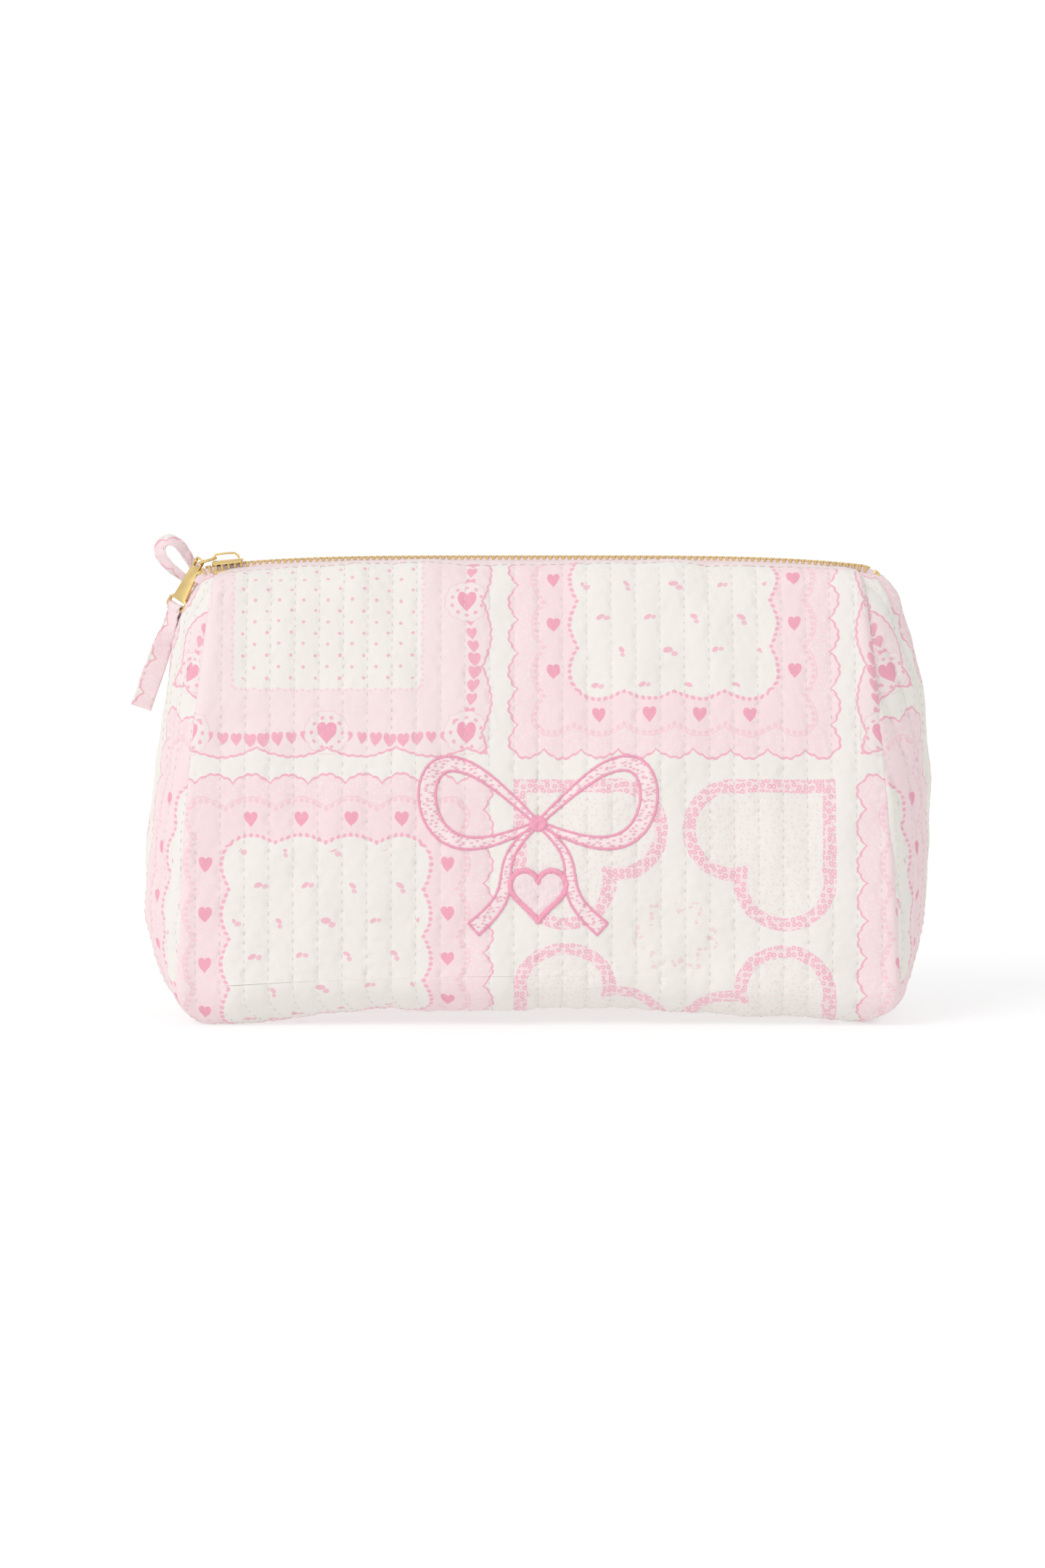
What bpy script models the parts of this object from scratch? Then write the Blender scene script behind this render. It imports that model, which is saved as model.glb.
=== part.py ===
"""A zipped, quilted makeup bag: padded panels in three layers, a metal zip with its slider and pull, and two ribbons.

+X runs along the zip, +Y to the back, +Z up. The origin is the middle of the base, on the surface that it stands on.
Sizes are in millimetres and are turned into metres where the meshes are made.
"""

import math

import bmesh
import bpy
from mathutils import Vector

MM = 0.001

# the bag
BASE_TOP = 14.0           # height where the base's rounded edge meets the panels
SEAM_GAP = 0.3            # between separate pieces that lie against each other
PANEL_TOP = 157.4         # top edge of the panels in the middle
HALF_WIDTH = 124.0        # of a panel at BASE_TOP
WIDTH_TAPER = 11.5        # how much narrower each half is at the top
HALF_DEPTH_BASE = 48.0    # from the middle to a panel's face, at BASE_TOP
HALF_DEPTH_TOP = 10.0     # the same under the zip
CROWN = 3.0               # how far a panel's middle stands proud of its sides
CORNER_START = 103.0      # where a panel's top edge starts to curve down
CORNER_DROP = 6.0
GUSSET_BULGE = 12.3
GUSSET_LOW = 4.5
GUSSET_TOP = 151.0
LAYERS = {                # depth from the face to each side of a layer
    "cover": (0.0, 0.6),
    "wadding": (0.9, 3.3),
    "lining": (3.6, 4.2),
}
WALL = 4.2

# the zip, a number 5 chain
ZIP_MIDDLE = 158.6        # height of the chain at the middle of the bag
ZIP_LENGTH = 122.0        # along the chain from the middle to each end of the tape
ZIP_BEND = 113.0          # where the tape turns down over the bag's end
ZIP_EASE = 0.11           # slope of the chain, in radians, where that turn starts
ZIP_TURN = 1.2            # slope at the tape's end
PITCH = 2.2
TOOTH_LONG = 0.8
TOOTH_TIP = -0.9          # past the middle, so the rows mesh
TOOTH_ROOT = 1.7
BEAD_EDGE = 2.3           # outer side of the corded edge that the teeth are clamped to
TOOTH_HALF_HIGH = 1.1
TAPE_INNER = 2.6
TAPE_OUTER = 9.7
TAPE_HALF_THICK = 0.4
PARTED = 1.9              # how far each row stands out before the slider closes it
PARTED_FROM = 106.0
PARTED_OVER = 5.0

# the slider
SLIDER_AT = 108.0         # along the chain, left of the middle
SLIDER_HALF_LONG = 5.35
SLIDER_HALF_NOSE = 5.9
SLIDER_HALF_TAIL = 4.4
SLIDER_HALF_HIGH = 2.2
PLATE = 0.8
FLANGE = 1.0
FLANGE_SLOT = 0.9         # half the slot that the tape runs through
WEDGE_HALF = 0.6
BRIDGE_TOP = 4.9
BRIDGE_THICK = 0.7
BRIDGE_HALF_WIDE = 0.8
BRIDGE_FRONT = -5.35
BRIDGE_REAR = 4.3

# the pull and its link
LINK_BAR = (-3.9, 3.25)   # in the slider's own frame
LINK_SLOPE = math.radians(17)
LINK_LONG = 6.6
LINK_HALF_WIDE = 2.9
LINK_WIRE = 0.42
PULL_SLOPE = math.radians(62)
PULL_TWIST = math.radians(45)
PULL_LONG = 18.0
PULL_HALF_THICK = 0.45
RIBBON_WIDE = 7.4
RIBBON_LONG = 37.0
RIBBON_SLOPE = math.radians(71)
RIBBON_THICK = 0.5

# the hanging loop
LOOP_Y = 12.8
LOOP_WIDE = 5.0
LOOP_THICK = 0.6
LOOP_ROUTE = [
    (-116.4, 147.2), (-119.6, 148.8), (-124.4, 151.6), (-129.0, 155.0), (-132.2, 159.0),
    (-132.4, 162.6), (-129.8, 164.6), (-126.2, 163.2), (-123.2, 159.4), (-120.2, 154.2),
    (-116.2, 149.6),
]

PINK_PRINT = ((0.93, 0.78, 0.80), 0.85, 0.0)
WHITE_WADDING = ((0.90, 0.90, 0.88), 0.95, 0.0)
CREAM_LINING = ((0.86, 0.82, 0.77), 0.90, 0.0)
PINK_TAPE = ((0.88, 0.62, 0.68), 0.80, 0.0)
BRASS = ((0.80, 0.60, 0.28), 0.28, 1.0)


def clear_scene():
    for obj in list(bpy.data.objects):
        bpy.data.objects.remove(obj, do_unlink=True)


def material(name, finish):
    colour, roughness, metallic = finish
    made = bpy.data.materials.new(name)
    made.use_nodes = True
    shader = made.node_tree.nodes["Principled BSDF"]
    shader.inputs["Base Color"].default_value = (*colour, 1.0)
    shader.inputs["Roughness"].default_value = roughness
    shader.inputs["Metallic"].default_value = metallic
    return made


def add_solid(name, points, faces, finish, pivot=(0.0, 0.0, 0.0)):
    """One closed body from points in millimetres, with its origin at pivot."""
    pivot = Vector(pivot)
    mesh = bpy.data.meshes.new(name)
    mesh.from_pydata([(Vector(p) - pivot) * MM for p in points], [], faces)
    shape = bmesh.new()
    shape.from_mesh(mesh)
    bmesh.ops.recalc_face_normals(shape, faces=shape.faces)
    shape.to_mesh(mesh)
    shape.free()
    mesh.materials.append(material(name, finish))
    obj = bpy.data.objects.new(name, mesh)
    obj.location = pivot * MM
    bpy.context.scene.collection.objects.link(obj)
    return obj


def ease(t):
    """0 below 0, 1 above 1, and a smooth step between."""
    t = min(max(t, 0.0), 1.0)
    return t * t * (3 - 2 * t)


def slab(name, columns, rows, near, far, finish, pivot=(0.0, 0.0, 0.0)):
    """A sheet with thickness: near(i, j) and far(i, j) give the points of its two sides."""
    points = [side(i, j) for side in (near, far) for j in range(rows) for i in range(columns)]
    other = columns * rows

    def at(i, j):
        return j * columns + i

    faces = []
    for j in range(rows - 1):
        for i in range(columns - 1):
            a, b, c, d = at(i, j), at(i + 1, j), at(i + 1, j + 1), at(i, j + 1)
            for triangle in ((a, b, c), (a, c, d)):
                faces.append(triangle)
                faces.append([n + other for n in reversed(triangle)])
    rim = [at(i, 0) for i in range(columns)]
    rim += [at(columns - 1, j) for j in range(1, rows)]
    rim += [at(i, rows - 1) for i in range(columns - 2, -1, -1)]
    rim += [at(0, j) for j in range(rows - 2, 0, -1)]
    for a, b in zip(rim, rim[1:] + rim[:1]):
        faces.append([b, a, a + other, b + other])
    return add_solid(name, points, faces, finish, pivot)


def cells(name, x_count, y_count, z_count, point, filled, finish, pivot=(0.0, 0.0, 0.0)):
    """One body from the filled cells of a bent grid: point(i, j, k) places a corner."""
    index = {}
    faces = []

    def corner(*key):
        return index.setdefault(key, len(index))

    def is_filled(i, j, k):
        inside = 0 <= i < x_count and 0 <= j < y_count and 0 <= k < z_count
        return inside and filled(i, j, k)

    for i in range(x_count):
        for j in range(y_count):
            for k in range(z_count):
                if not is_filled(i, j, k):
                    continue
                for axis in range(3):
                    for end in (0, 1):
                        beyond = [i, j, k]
                        beyond[axis] += 2 * end - 1
                        if is_filled(*beyond):
                            continue
                        quad = []
                        for a, b in ((0, 0), (1, 0), (1, 1), (0, 1)):
                            step = [a, b]
                            step.insert(axis, end)
                            quad.append(corner(i + step[0], j + step[1], k + step[2]))
                        faces.append(quad if end == (axis != 1) else quad[::-1])
    points = [point(*key) for key in index]
    return add_solid(name, points, faces, finish, pivot)


def strap(name, centres, across, through, half_wide, half_thick, finish, pivot):
    """A flat strap along centres: across and through are its directions at each of them."""
    def side(sign):
        def at(i, j):
            reach = across[j] * (half_wide * (2 * i - 1))
            return centres[j] + reach + through[j] * (sign * half_thick)
        return at

    return slab(name, 2, len(centres), side(1), side(-1), finish, pivot)


# ---------------------------------------------------------------- the padded panels

def height_share(z):
    return min(max((z - BASE_TOP) / (PANEL_TOP - BASE_TOP), 0.0), 1.0)


def half_width(z):
    """Half a panel's width at a height, drawn in a little round the base's edge."""
    low = max(1 - z / BASE_TOP, 0.0)
    return HALF_WIDTH - WIDTH_TAPER * height_share(z) ** 1.6 - 3.0 * low ** 2


def half_depth(z):
    return HALF_DEPTH_TOP + (HALF_DEPTH_BASE - HALF_DEPTH_TOP) * (1 - height_share(z) ** 2.2)


def crown(z):
    return CROWN * math.sin(math.pi * height_share(z))


def panel_top(u):
    beyond = max(abs(u) * half_width(PANEL_TOP) - CORNER_START, 0.0)
    easy = 2.6 * abs(u) ** 4
    return PANEL_TOP - easy - CORNER_DROP * (beyond / (half_width(PANEL_TOP) - CORNER_START)) ** 2


def panel_face(side, u, v):
    low = BASE_TOP + SEAM_GAP
    z = low + v * (panel_top(u) - low)
    return Vector((u * half_width(z), side * (half_depth(z) - crown(z) * u * u), z))


def gusset_half(z):
    """Half the width of a gusset: it fits inside the panels and the base's rounded edge."""
    if z < BASE_TOP:
        inner = BASE_TOP - WALL - SEAM_GAP
        return HALF_DEPTH_BASE - BASE_TOP + math.sqrt(max(inner ** 2 - (BASE_TOP - z) ** 2, 0.0))
    lean = (half_depth(z + 0.5) - half_depth(z - 0.5))
    return half_depth(z) - crown(z) - WALL * math.hypot(1, lean) - 0.4


def gusset_bulge(z):
    rise = 1 - math.exp(-max(z - GUSSET_LOW, 0.0) / 20)
    return GUSSET_BULGE * rise * (1 - max((z - 60) / 96, 0.0) ** 7)


def gusset_out(z, s):
    return half_width(z) + gusset_bulge(z) * (1 - s * s)


def gusset_point(side, s, v, depth):
    """A point of a gusset at a depth under its outer face, along the face's normal."""
    z = GUSSET_LOW + v * (GUSSET_TOP - GUSSET_LOW)
    half = gusset_half(z)
    rise = gusset_out(z + 0.5, s) - gusset_out(max(z - 0.5, 0.0), s)
    normal = Vector((side, 2 * gusset_bulge(z) * s / half, -rise)).normalized()
    return Vector((side * gusset_out(z, s), s * half, z)) - normal * depth


def panel_point(side, u, v, depth):
    """A point of the front or back panel at a depth under its outer face, along the face's normal."""
    h = 0.001
    across = panel_face(side, u + h, v) - panel_face(side, u - h, v)
    up = panel_face(side, u, v + h) - panel_face(side, u, v - h)
    normal = across.cross(up).normalized() * -side
    return panel_face(side, u, v) - normal * depth


def layered(prefix, point, side, columns, rows, finishes):
    """The cover, wadding and lining of one panel, over the same grid so that they stay parallel."""
    for layer, (near, far) in LAYERS.items():
        def at(depth):
            return lambda i, j: point(side, columns[i], rows[j], depth)
        slab(f"{prefix}_{layer}", len(columns), len(rows), at(near), at(far), finishes[layer])


def base_profile(depth):
    """The base's cross-section at a depth: up the front edge, under, and up the back edge."""
    flat = HALF_DEPTH_BASE - BASE_TOP
    radius = BASE_TOP - depth
    turns = [math.radians(a) for a in (0, 22.5, 45, 67.5, 90)]
    front = [(-flat - radius * math.cos(a), BASE_TOP - radius * math.sin(a)) for a in turns]
    back = [(-y, z) for y, z in reversed(front)]
    return front + [(0.0, depth)] + back


def add_base(finishes):
    outer = base_profile(0.0)
    for layer, (near, far) in LAYERS.items():
        def at(depth):
            profile = base_profile(depth)

            def point(i, j):
                y, z = profile[j]
                return Vector(((2 * i - 1) * half_width(outer[j][1]), y, z))
            return point
        slab(f"bottom_{layer}", 2, len(outer), at(near), at(far), finishes[layer])


def add_bag():
    finishes = {"cover": PINK_PRINT, "wadding": WHITE_WADDING, "lining": CREAM_LINING}
    across = [math.sin(math.radians(15 * n)) for n in range(-6, 7)]
    up = [n / 8 for n in range(9)]
    for name, side in (("front", -1), ("back", 1)):
        layered(name, panel_point, side, across, up, finishes)
    gusset_across = [n / 3 for n in range(-3, 4)]
    gusset_up = [0.0, 0.02, 0.06, 0.14, 0.28, 0.45, 0.62, 0.78, 0.88, 0.95, 1.0]
    for name, side in (("left_gusset", -1), ("right_gusset", 1)):
        layered(name, gusset_point, side, gusset_across, gusset_up, finishes)
    add_base(finishes)


# ---------------------------------------------------------------- the zip

def zip_slope(s):
    s = abs(s)
    easy = ZIP_EASE * (min(s, ZIP_BEND) / ZIP_BEND) ** 3
    return easy + (ZIP_TURN - ZIP_EASE) * max(s - ZIP_BEND, 0.0) / (ZIP_LENGTH - ZIP_BEND)


def zip_point(s, y, n):
    """A point at s along the chain from the middle, y across it and n above it."""
    x = 0.0
    z = ZIP_MIDDLE
    steps = 60
    step = abs(s) / steps
    for k in range(steps):
        slope = zip_slope((k + 0.5) * step)
        x += step * math.cos(slope)
        z -= step * math.sin(slope)
    slope = zip_slope(s)
    hand = math.copysign(1.0, s)
    return Vector((hand * (x + n * math.sin(slope)), y, z + n * math.cos(slope)))


def parting(s):
    """How far a row stands out to its own side, left of where the slider closes the chain."""
    return PARTED * ease((-s - PARTED_FROM) / PARTED_OVER)


def add_teeth(name, side, first):
    """One row: a corded edge with a tooth at every pitch."""
    count = int((2 * 117.0) / PITCH)
    points = []
    faces = []

    def pair(s, reach):
        """The low and high points of the row's section at s, at reach from the chain's middle."""
        start = len(points)
        for n in (-TOOTH_HALF_HIGH, TOOTH_HALF_HIGH):
            points.append(zip_point(s, side * (reach + parting(s)), n))
        return start

    stations = []
    for k in range(count):
        s = first + k * PITCH
        for at in (s, s + TOOTH_LONG):
            stations.append([pair(at, r) for r in (TOOTH_TIP, TOOTH_ROOT, BEAD_EDGE)])
    for k, (a, b) in enumerate(zip(stations, stations[1:])):
        tooth = k % 2 == 0
        reaches = (0, 1, 2) if tooth else (1, 2)
        for n in (0, 1):
            outline = [a[r] + n for r in reaches] + [b[r] + n for r in reversed(reaches)]
            faces.append(outline)
        faces.append([a[2], b[2], b[2] + 1, a[2] + 1])
        inner = 0 if tooth else 1
        faces.append([a[inner], a[inner] + 1, b[inner] + 1, b[inner]])
        if tooth:
            for end in (a, b):
                faces.append([end[0], end[1], end[1] + 1, end[0] + 1])
    for end in (stations[0], stations[-1]):
        faces.append([end[1], end[2], end[2] + 1, end[1] + 1])
    add_solid(name, points, faces, BRASS)


def add_zip():
    lengths = [-122.0, -120.0, -118.0, -116.0, -113.0, -110.0, -108.0, -106.0, -104.0, -90.0]
    lengths += [-60.0, 0.0, 60.0, 90.0, 105.0, 113.0, 116.0, 118.0, 120.0, 122.0]
    for name, side, first in (("front", -1, -117.0), ("back", 1, -117.0 + PITCH / 2)):
        def tape(height, side=side):
            def at(i, j):
                s = lengths[j]
                y = TAPE_OUTER if i else TAPE_INNER + parting(s)
                return zip_point(s, side * y, height)
            return at
        slab(f"zip_tape_{name}", 2, len(lengths), tape(TAPE_HALF_THICK), tape(-TAPE_HALF_THICK),
             PINK_TAPE)
        add_teeth(f"zip_teeth_{name}", side, first)
        stop_at = [-119.0, -117.4]

        def stop(i, j, k, side=side):
            y = (2.3, 4.1)[j]
            return zip_point(stop_at[i], side * y, (-0.9, 1.0)[k])
        cells(f"top_stop_{name}", 1, 1, 1, stop, lambda i, j, k: True, BRASS)

    def bottom_stop(i, j, k):
        return zip_point((117.6, 119.6)[i], (-2.2, 2.2)[j], (-0.9, 1.4)[k])
    cells("bottom_stop", 1, 1, 1, bottom_stop, lambda i, j, k: True, BRASS)


def slider_frame():
    """The slider's centre and tilt, read from the chain where it stands."""
    return zip_point(-SLIDER_AT, 0.0, 0.0), zip_slope(SLIDER_AT)


def on_slider(lx, y, lz):
    centre, tilt = slider_frame()
    x = lx * math.cos(tilt) - lz * math.sin(tilt)
    z = lx * math.sin(tilt) + lz * math.cos(tilt)
    return centre + Vector((x, y, z))


def add_slider():
    centre, _ = slider_frame()
    long = SLIDER_HALF_LONG
    xs = [-long, -long + 0.5, -3.6, -2.0, 2.4, long - 0.5, long]
    wedge = [0.35, WEDGE_HALF, WEDGE_HALF, 0.15, 0.15, 0.15, 0.15]
    chamfer = [0.8, 0.0, 0.0, 0.0, 0.0, 0.0, 0.8]
    inner = SLIDER_HALF_HIGH - PLATE
    zs = [-SLIDER_HALF_HIGH, -inner, -FLANGE_SLOT, FLANGE_SLOT, inner, SLIDER_HALF_HIGH]

    def point(i, j, k):
        share = (xs[i] + long) / (2 * long)
        half = SLIDER_HALF_NOSE + (SLIDER_HALF_TAIL - SLIDER_HALF_NOSE) * ease(1.3 * share)
        half -= chamfer[i]
        ys = [-half, -half + FLANGE, -wedge[i], wedge[i], half - FLANGE, half]
        return on_slider(xs[i], ys[j], zs[k])

    def filled(i, j, k):
        if k in (0, 4):
            return True
        if j in (0, 4):
            return k in (1, 3) and 1 <= i <= 4
        return j == 2 and i <= 2

    cells("slider_body", 6, 5, 5, point, filled, BRASS, centre)

    foot = SLIDER_HALF_HIGH + SEAM_GAP
    under = BRIDGE_TOP - BRIDGE_THICK
    front = BRIDGE_FRONT
    rear = BRIDGE_REAR
    thick = BRIDGE_THICK
    outer = [(front, foot), (front + 0.1, under - 0.6), (front + 1.1, BRIDGE_TOP - 0.1),
             (0.0, BRIDGE_TOP), (rear - 1.6, BRIDGE_TOP - 0.2), (rear - 0.2, under - 0.8), (rear, foot)]
    inside = [(front + thick, foot), (front + thick + 0.1, under - 0.7), (front + 1.5, under - 0.1),
              (0.0, under), (rear - 1.9, under - 0.2), (rear - thick - 0.2, under - 1.0),
              (rear - thick, foot)]

    def bridge(outline):
        return lambda i, j: on_slider(outline[j][0], BRIDGE_HALF_WIDE * (2 * i - 1), outline[j][1])
    slab("slider_bridge", 2, len(outer), bridge(outer), bridge(inside), BRASS, centre)


def link_ends():
    """The link's two bars: under the slider's bridge, and through the pull's eye."""
    near = on_slider(LINK_BAR[0], 0.0, LINK_BAR[1])
    run = Vector((-math.cos(LINK_SLOPE), 0.0, -math.sin(LINK_SLOPE)))
    return near, near + run * LINK_LONG, run


def add_link():
    """An oval ring of round wire."""
    near, far, run = link_ends()
    across = Vector((0.0, 1.0, 0.0))
    half = LINK_HALF_WIDE
    route = []
    for centre, start in ((far - run * half, -90), (near + run * half, 90)):
        for n in range(6):
            turn = math.radians(start + 36 * n)
            route.append(centre + run * (half * math.cos(turn)) + across * (half * math.sin(turn)))
    sides = 6
    points = []
    for k, p in enumerate(route):
        along = (route[(k + 1) % len(route)] - route[k - 1]).normalized()
        up = run.cross(across)
        out = along.cross(up)
        for n in range(sides):
            turn = 2 * math.pi * (n + 0.5) / sides
            points.append(p + (out * math.cos(turn) + up * math.sin(turn)) * LINK_WIRE)
    faces = []
    for k in range(len(route)):
        nxt = (k + 1) % len(route)
        for n in range(sides):
            m = (n + 1) % sides
            faces.append([k * sides + n, k * sides + m, nxt * sides + m, nxt * sides + n])
    add_solid("link_ring", points, faces, BRASS, near)


def pull_frame():
    """The pull's length, width and face directions: it hangs past the bag's end, a little twisted."""
    along = Vector((-math.cos(PULL_SLOPE), 0.0, -math.sin(PULL_SLOPE)))
    face = Vector((-math.sin(PULL_SLOPE), 0.0, math.cos(PULL_SLOPE)))
    across = Vector((0.0, 1.0, 0.0))
    wide = across * math.cos(PULL_TWIST) + face * math.sin(PULL_TWIST)
    return along, wide, along.cross(wide).normalized()


def add_pull():
    """A flat plate with an eye for the link at its top and a slot for the ribbon at its foot."""
    _, pivot, _ = link_ends()
    along, wide, face = pull_frame()
    lengths = [-2.0, -1.3, 1.4, 2.4, 5.0, 13.4, 14.7, 16.6, 17.2, PULL_LONG]
    halves = [1.5, 2.1, 2.2, 2.2, 2.4, 3.2, 4.9, 4.9, 4.9, 4.2]
    holes = [0.9, 1.4, 1.4, 1.2, 1.2, 3.0, 4.0, 4.0, 4.0, 3.4]

    def point(i, j, k):
        across = (-halves[i], -holes[i], holes[i], halves[i])[j]
        return pivot + along * lengths[i] + wide * across + face * (PULL_HALF_THICK * (2 * k - 1))

    def filled(i, j, k):
        return not (j == 1 and i in (1, 6))

    cells("pull_tab", 9, 3, 1, point, filled, BRASS, pivot)


def ribbon_pivot():
    """The middle of the bar at the pull's foot that the ribbon is folded over."""
    _, pivot, _ = link_ends()
    along, _, _ = pull_frame()
    return pivot + along * 17.3


def add_ribbon_tab():
    """One ribbon folded over the pull's bar, its two halves hanging together and turning to face front."""
    along, wide, face = pull_frame()
    down = Vector((-math.cos(RIBBON_SLOPE), 0.0, -math.sin(RIBBON_SLOPE)))
    flat = Vector((-math.sin(RIBBON_SLOPE), 0.0, math.cos(RIBBON_SLOPE)))
    bar = ribbon_pivot()
    count = 9
    spine = []
    position = bar + along * 1.4
    step = (RIBBON_LONG - 2.0) / (count - 1)
    for k in range(count):
        t = k / (count - 1)
        run = along.lerp(down, ease(2.0 * t)).normalized()
        across = wide.lerp(flat, ease(1.6 * t)).normalized()
        across = (across - run * across.dot(run)).normalized()
        spine.append((position.copy(), across, run.cross(across).normalized(), t))
        position += run * step

    def half(sign):
        made = []
        for p, across, through, t in spine:
            apart = 1.15 * (1 - ease(3.0 * t)) + 0.45
            made.append((p + through * (sign * apart), across, through * sign))
        return made

    near, far = half(1), half(-1)
    over = []
    for turn in (150, 90, 30):
        a = math.radians(turn)
        p = bar - along * (1.15 * math.sin(a) + 0.25) - face * (1.45 * math.cos(a))
        through = -along * math.sin(a) - face * math.cos(a)
        over.append((p, wide, through))
    if near[0][0].dot(face) < far[0][0].dot(face):
        near, far = far, near
    if over[0][0].dot(face) < over[-1][0].dot(face):
        over.reverse()
    route = near[::-1] + over + far
    centres = [p for p, _, _ in route]
    strap("ribbon_tab", centres, [a for _, a, _ in route], [t for _, _, t in route],
          RIBBON_WIDE / 2, RIBBON_THICK / 2, CREAM_LINING, bar)


def add_hang_loop():
    """A short ribbon loop whose two ends are sewn into the back seam at the zip's closed end."""
    centres = [Vector((x, LOOP_Y, z)) for x, z in LOOP_ROUTE]
    across = [Vector((0.0, 1.0, 0.0))] * len(centres)
    through = []
    for k in range(len(centres)):
        ahead = centres[min(k + 1, len(centres) - 1)] - centres[max(k - 1, 0)]
        through.append(ahead.cross(across[k]).normalized())
    foot = Vector((-116.3, LOOP_Y, 148.4))
    strap("hang_loop", centres, across, through, LOOP_WIDE / 2, LOOP_THICK / 2, CREAM_LINING, foot)


def main():
    clear_scene()
    add_bag()
    add_zip()
    add_slider()
    add_link()
    add_pull()
    add_ribbon_tab()
    add_hang_loop()


main()
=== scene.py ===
"""The looks of the quilted makeup bag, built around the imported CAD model.

Shapes are worked out in millimetres, in the CAD's own frame, and turned into metres where the meshes are made.
"""

import math

import bmesh
import bpy
import numpy as np
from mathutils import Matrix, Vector


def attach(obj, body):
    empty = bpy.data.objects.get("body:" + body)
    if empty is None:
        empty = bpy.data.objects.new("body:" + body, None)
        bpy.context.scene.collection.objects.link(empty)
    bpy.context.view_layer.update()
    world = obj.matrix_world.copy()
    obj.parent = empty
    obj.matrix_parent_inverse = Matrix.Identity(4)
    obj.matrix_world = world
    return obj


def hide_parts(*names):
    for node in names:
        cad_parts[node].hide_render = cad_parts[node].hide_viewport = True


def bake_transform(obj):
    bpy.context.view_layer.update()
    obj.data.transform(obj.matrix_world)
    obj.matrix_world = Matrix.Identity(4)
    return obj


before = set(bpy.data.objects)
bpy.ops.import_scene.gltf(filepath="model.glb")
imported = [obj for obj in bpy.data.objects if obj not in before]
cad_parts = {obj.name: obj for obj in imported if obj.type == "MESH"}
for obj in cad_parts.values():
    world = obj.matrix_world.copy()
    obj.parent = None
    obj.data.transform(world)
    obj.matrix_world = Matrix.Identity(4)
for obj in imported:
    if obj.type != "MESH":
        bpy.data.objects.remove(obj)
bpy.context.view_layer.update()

MM = 0.001
RANDOM = np.random.RandomState(11)

# the bag's own form, as the CAD has it
BASE_TOP = 14.0
PANEL_TOP = 157.4
HALF_WIDTH = 124.0
WIDTH_TAPER = 11.5
HALF_DEPTH_BASE = 48.0
HALF_DEPTH_TOP = 10.0
CROWN = 3.0
LEFT_BULGE = ((0, 0.6), (5, 3.0), (12, 7.2), (22, 11.2), (34, 13.8), (60, 15.6), (90, 15.4), (120, 13.9),
              (138, 12.8), (148, 9.0), (154, 4.0), (158, 0))
RIGHT_BULGE = ((0, 1.4), (5, 5.6), (12, 8.6), (22, 11.4), (34, 13.6), (60, 16.9), (90, 18.8), (106, 19.0),
               (120, 18.2), (134, 16.8), (146, 13.5), (153, 8.0), (158, 0))
TUCK_UP = 8.0             # the lower corners round in below this height
TUCK_IN = 9.0
ZIP_MIDDLE = 158.6
ZIP_LENGTH = 122.0
ZIP_BEND = 113.0
ZIP_EASE = 0.11
ZIP_TURN = 1.2
PARTED = 1.9
PARTED_FROM = 106.0
PARTED_OVER = 5.0
PITCH = 2.2
FIRST_TOOTH = -117.0
TEETH = 106
PANEL_FOOT = BASE_TOP + 0.2
HEM_START = 0.88          # the share of a panel's rows that is below its hem
HEM_LOW = 148.5           # where the hem starts to turn in, in the middle
HEM_FALL = 0.6            # how far that falls for each millimetre that the zip falls
EDGE_LIFT = 5.0           # the long lower edges lift this far midway between the corners
LIFT_ACROSS = 113.0       # and no longer lift this far out
LIFT_UP = 26.0            # and lift less above this height
FOOT = 0.25               # the cloth's lowest points, with the base's thread under them

# the quilting
CHANNEL = 8.4             # between stitch lines
PUFF = 0.52               # how deep a stitch line lies
WALL = 3.3                # cover and wadding
SEAM_REACH = 4.0          # the corner seams draw the cloth down from this far off
SEAM_DEPTH = 2.3
FACING = 2.7              # the plain strip between the teeth and the hem's stitching
HEM_EDGE = 3.7            # where the hem's fold stops short of the teeth
TILE = 119.5              # the printed cloth's repeat
TILE_X = -12.8
TILE_UP = 75.8


# ---------------------------------------------------------------- meshes

def add_mesh(name, points, faces, material=None):
    mesh = bpy.data.meshes.new(name)
    points = np.asarray(points, float) * MM
    mesh.from_pydata(points.tolist(), [], [list(f) for f in faces])
    mesh.validate()
    mesh.shade_smooth()
    mesh.set_sharp_from_angle(angle=math.radians(52))
    if material:
        mesh.materials.append(material)
    obj = bpy.data.objects.new(name, mesh)
    bpy.context.scene.collection.objects.link(obj)
    return obj


def grid_faces(rows, columns, first=0, flip=False):
    j, i = np.mgrid[0:rows - 1, 0:columns - 1]
    a = first + j * columns + i
    quads = np.stack([a, a + 1, a + columns + 1, a + columns], -1).reshape(-1, 4)
    return quads[:, ::-1] if flip else quads


def set_uv(obj, values):
    layer = obj.data.uv_layers.new(name="cloth")
    loops = np.empty(len(obj.data.loops), int)
    obj.data.loops.foreach_get("vertex_index", loops)
    layer.data.foreach_set("uv", np.asarray(values, np.float32)[loops].ravel())


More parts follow.
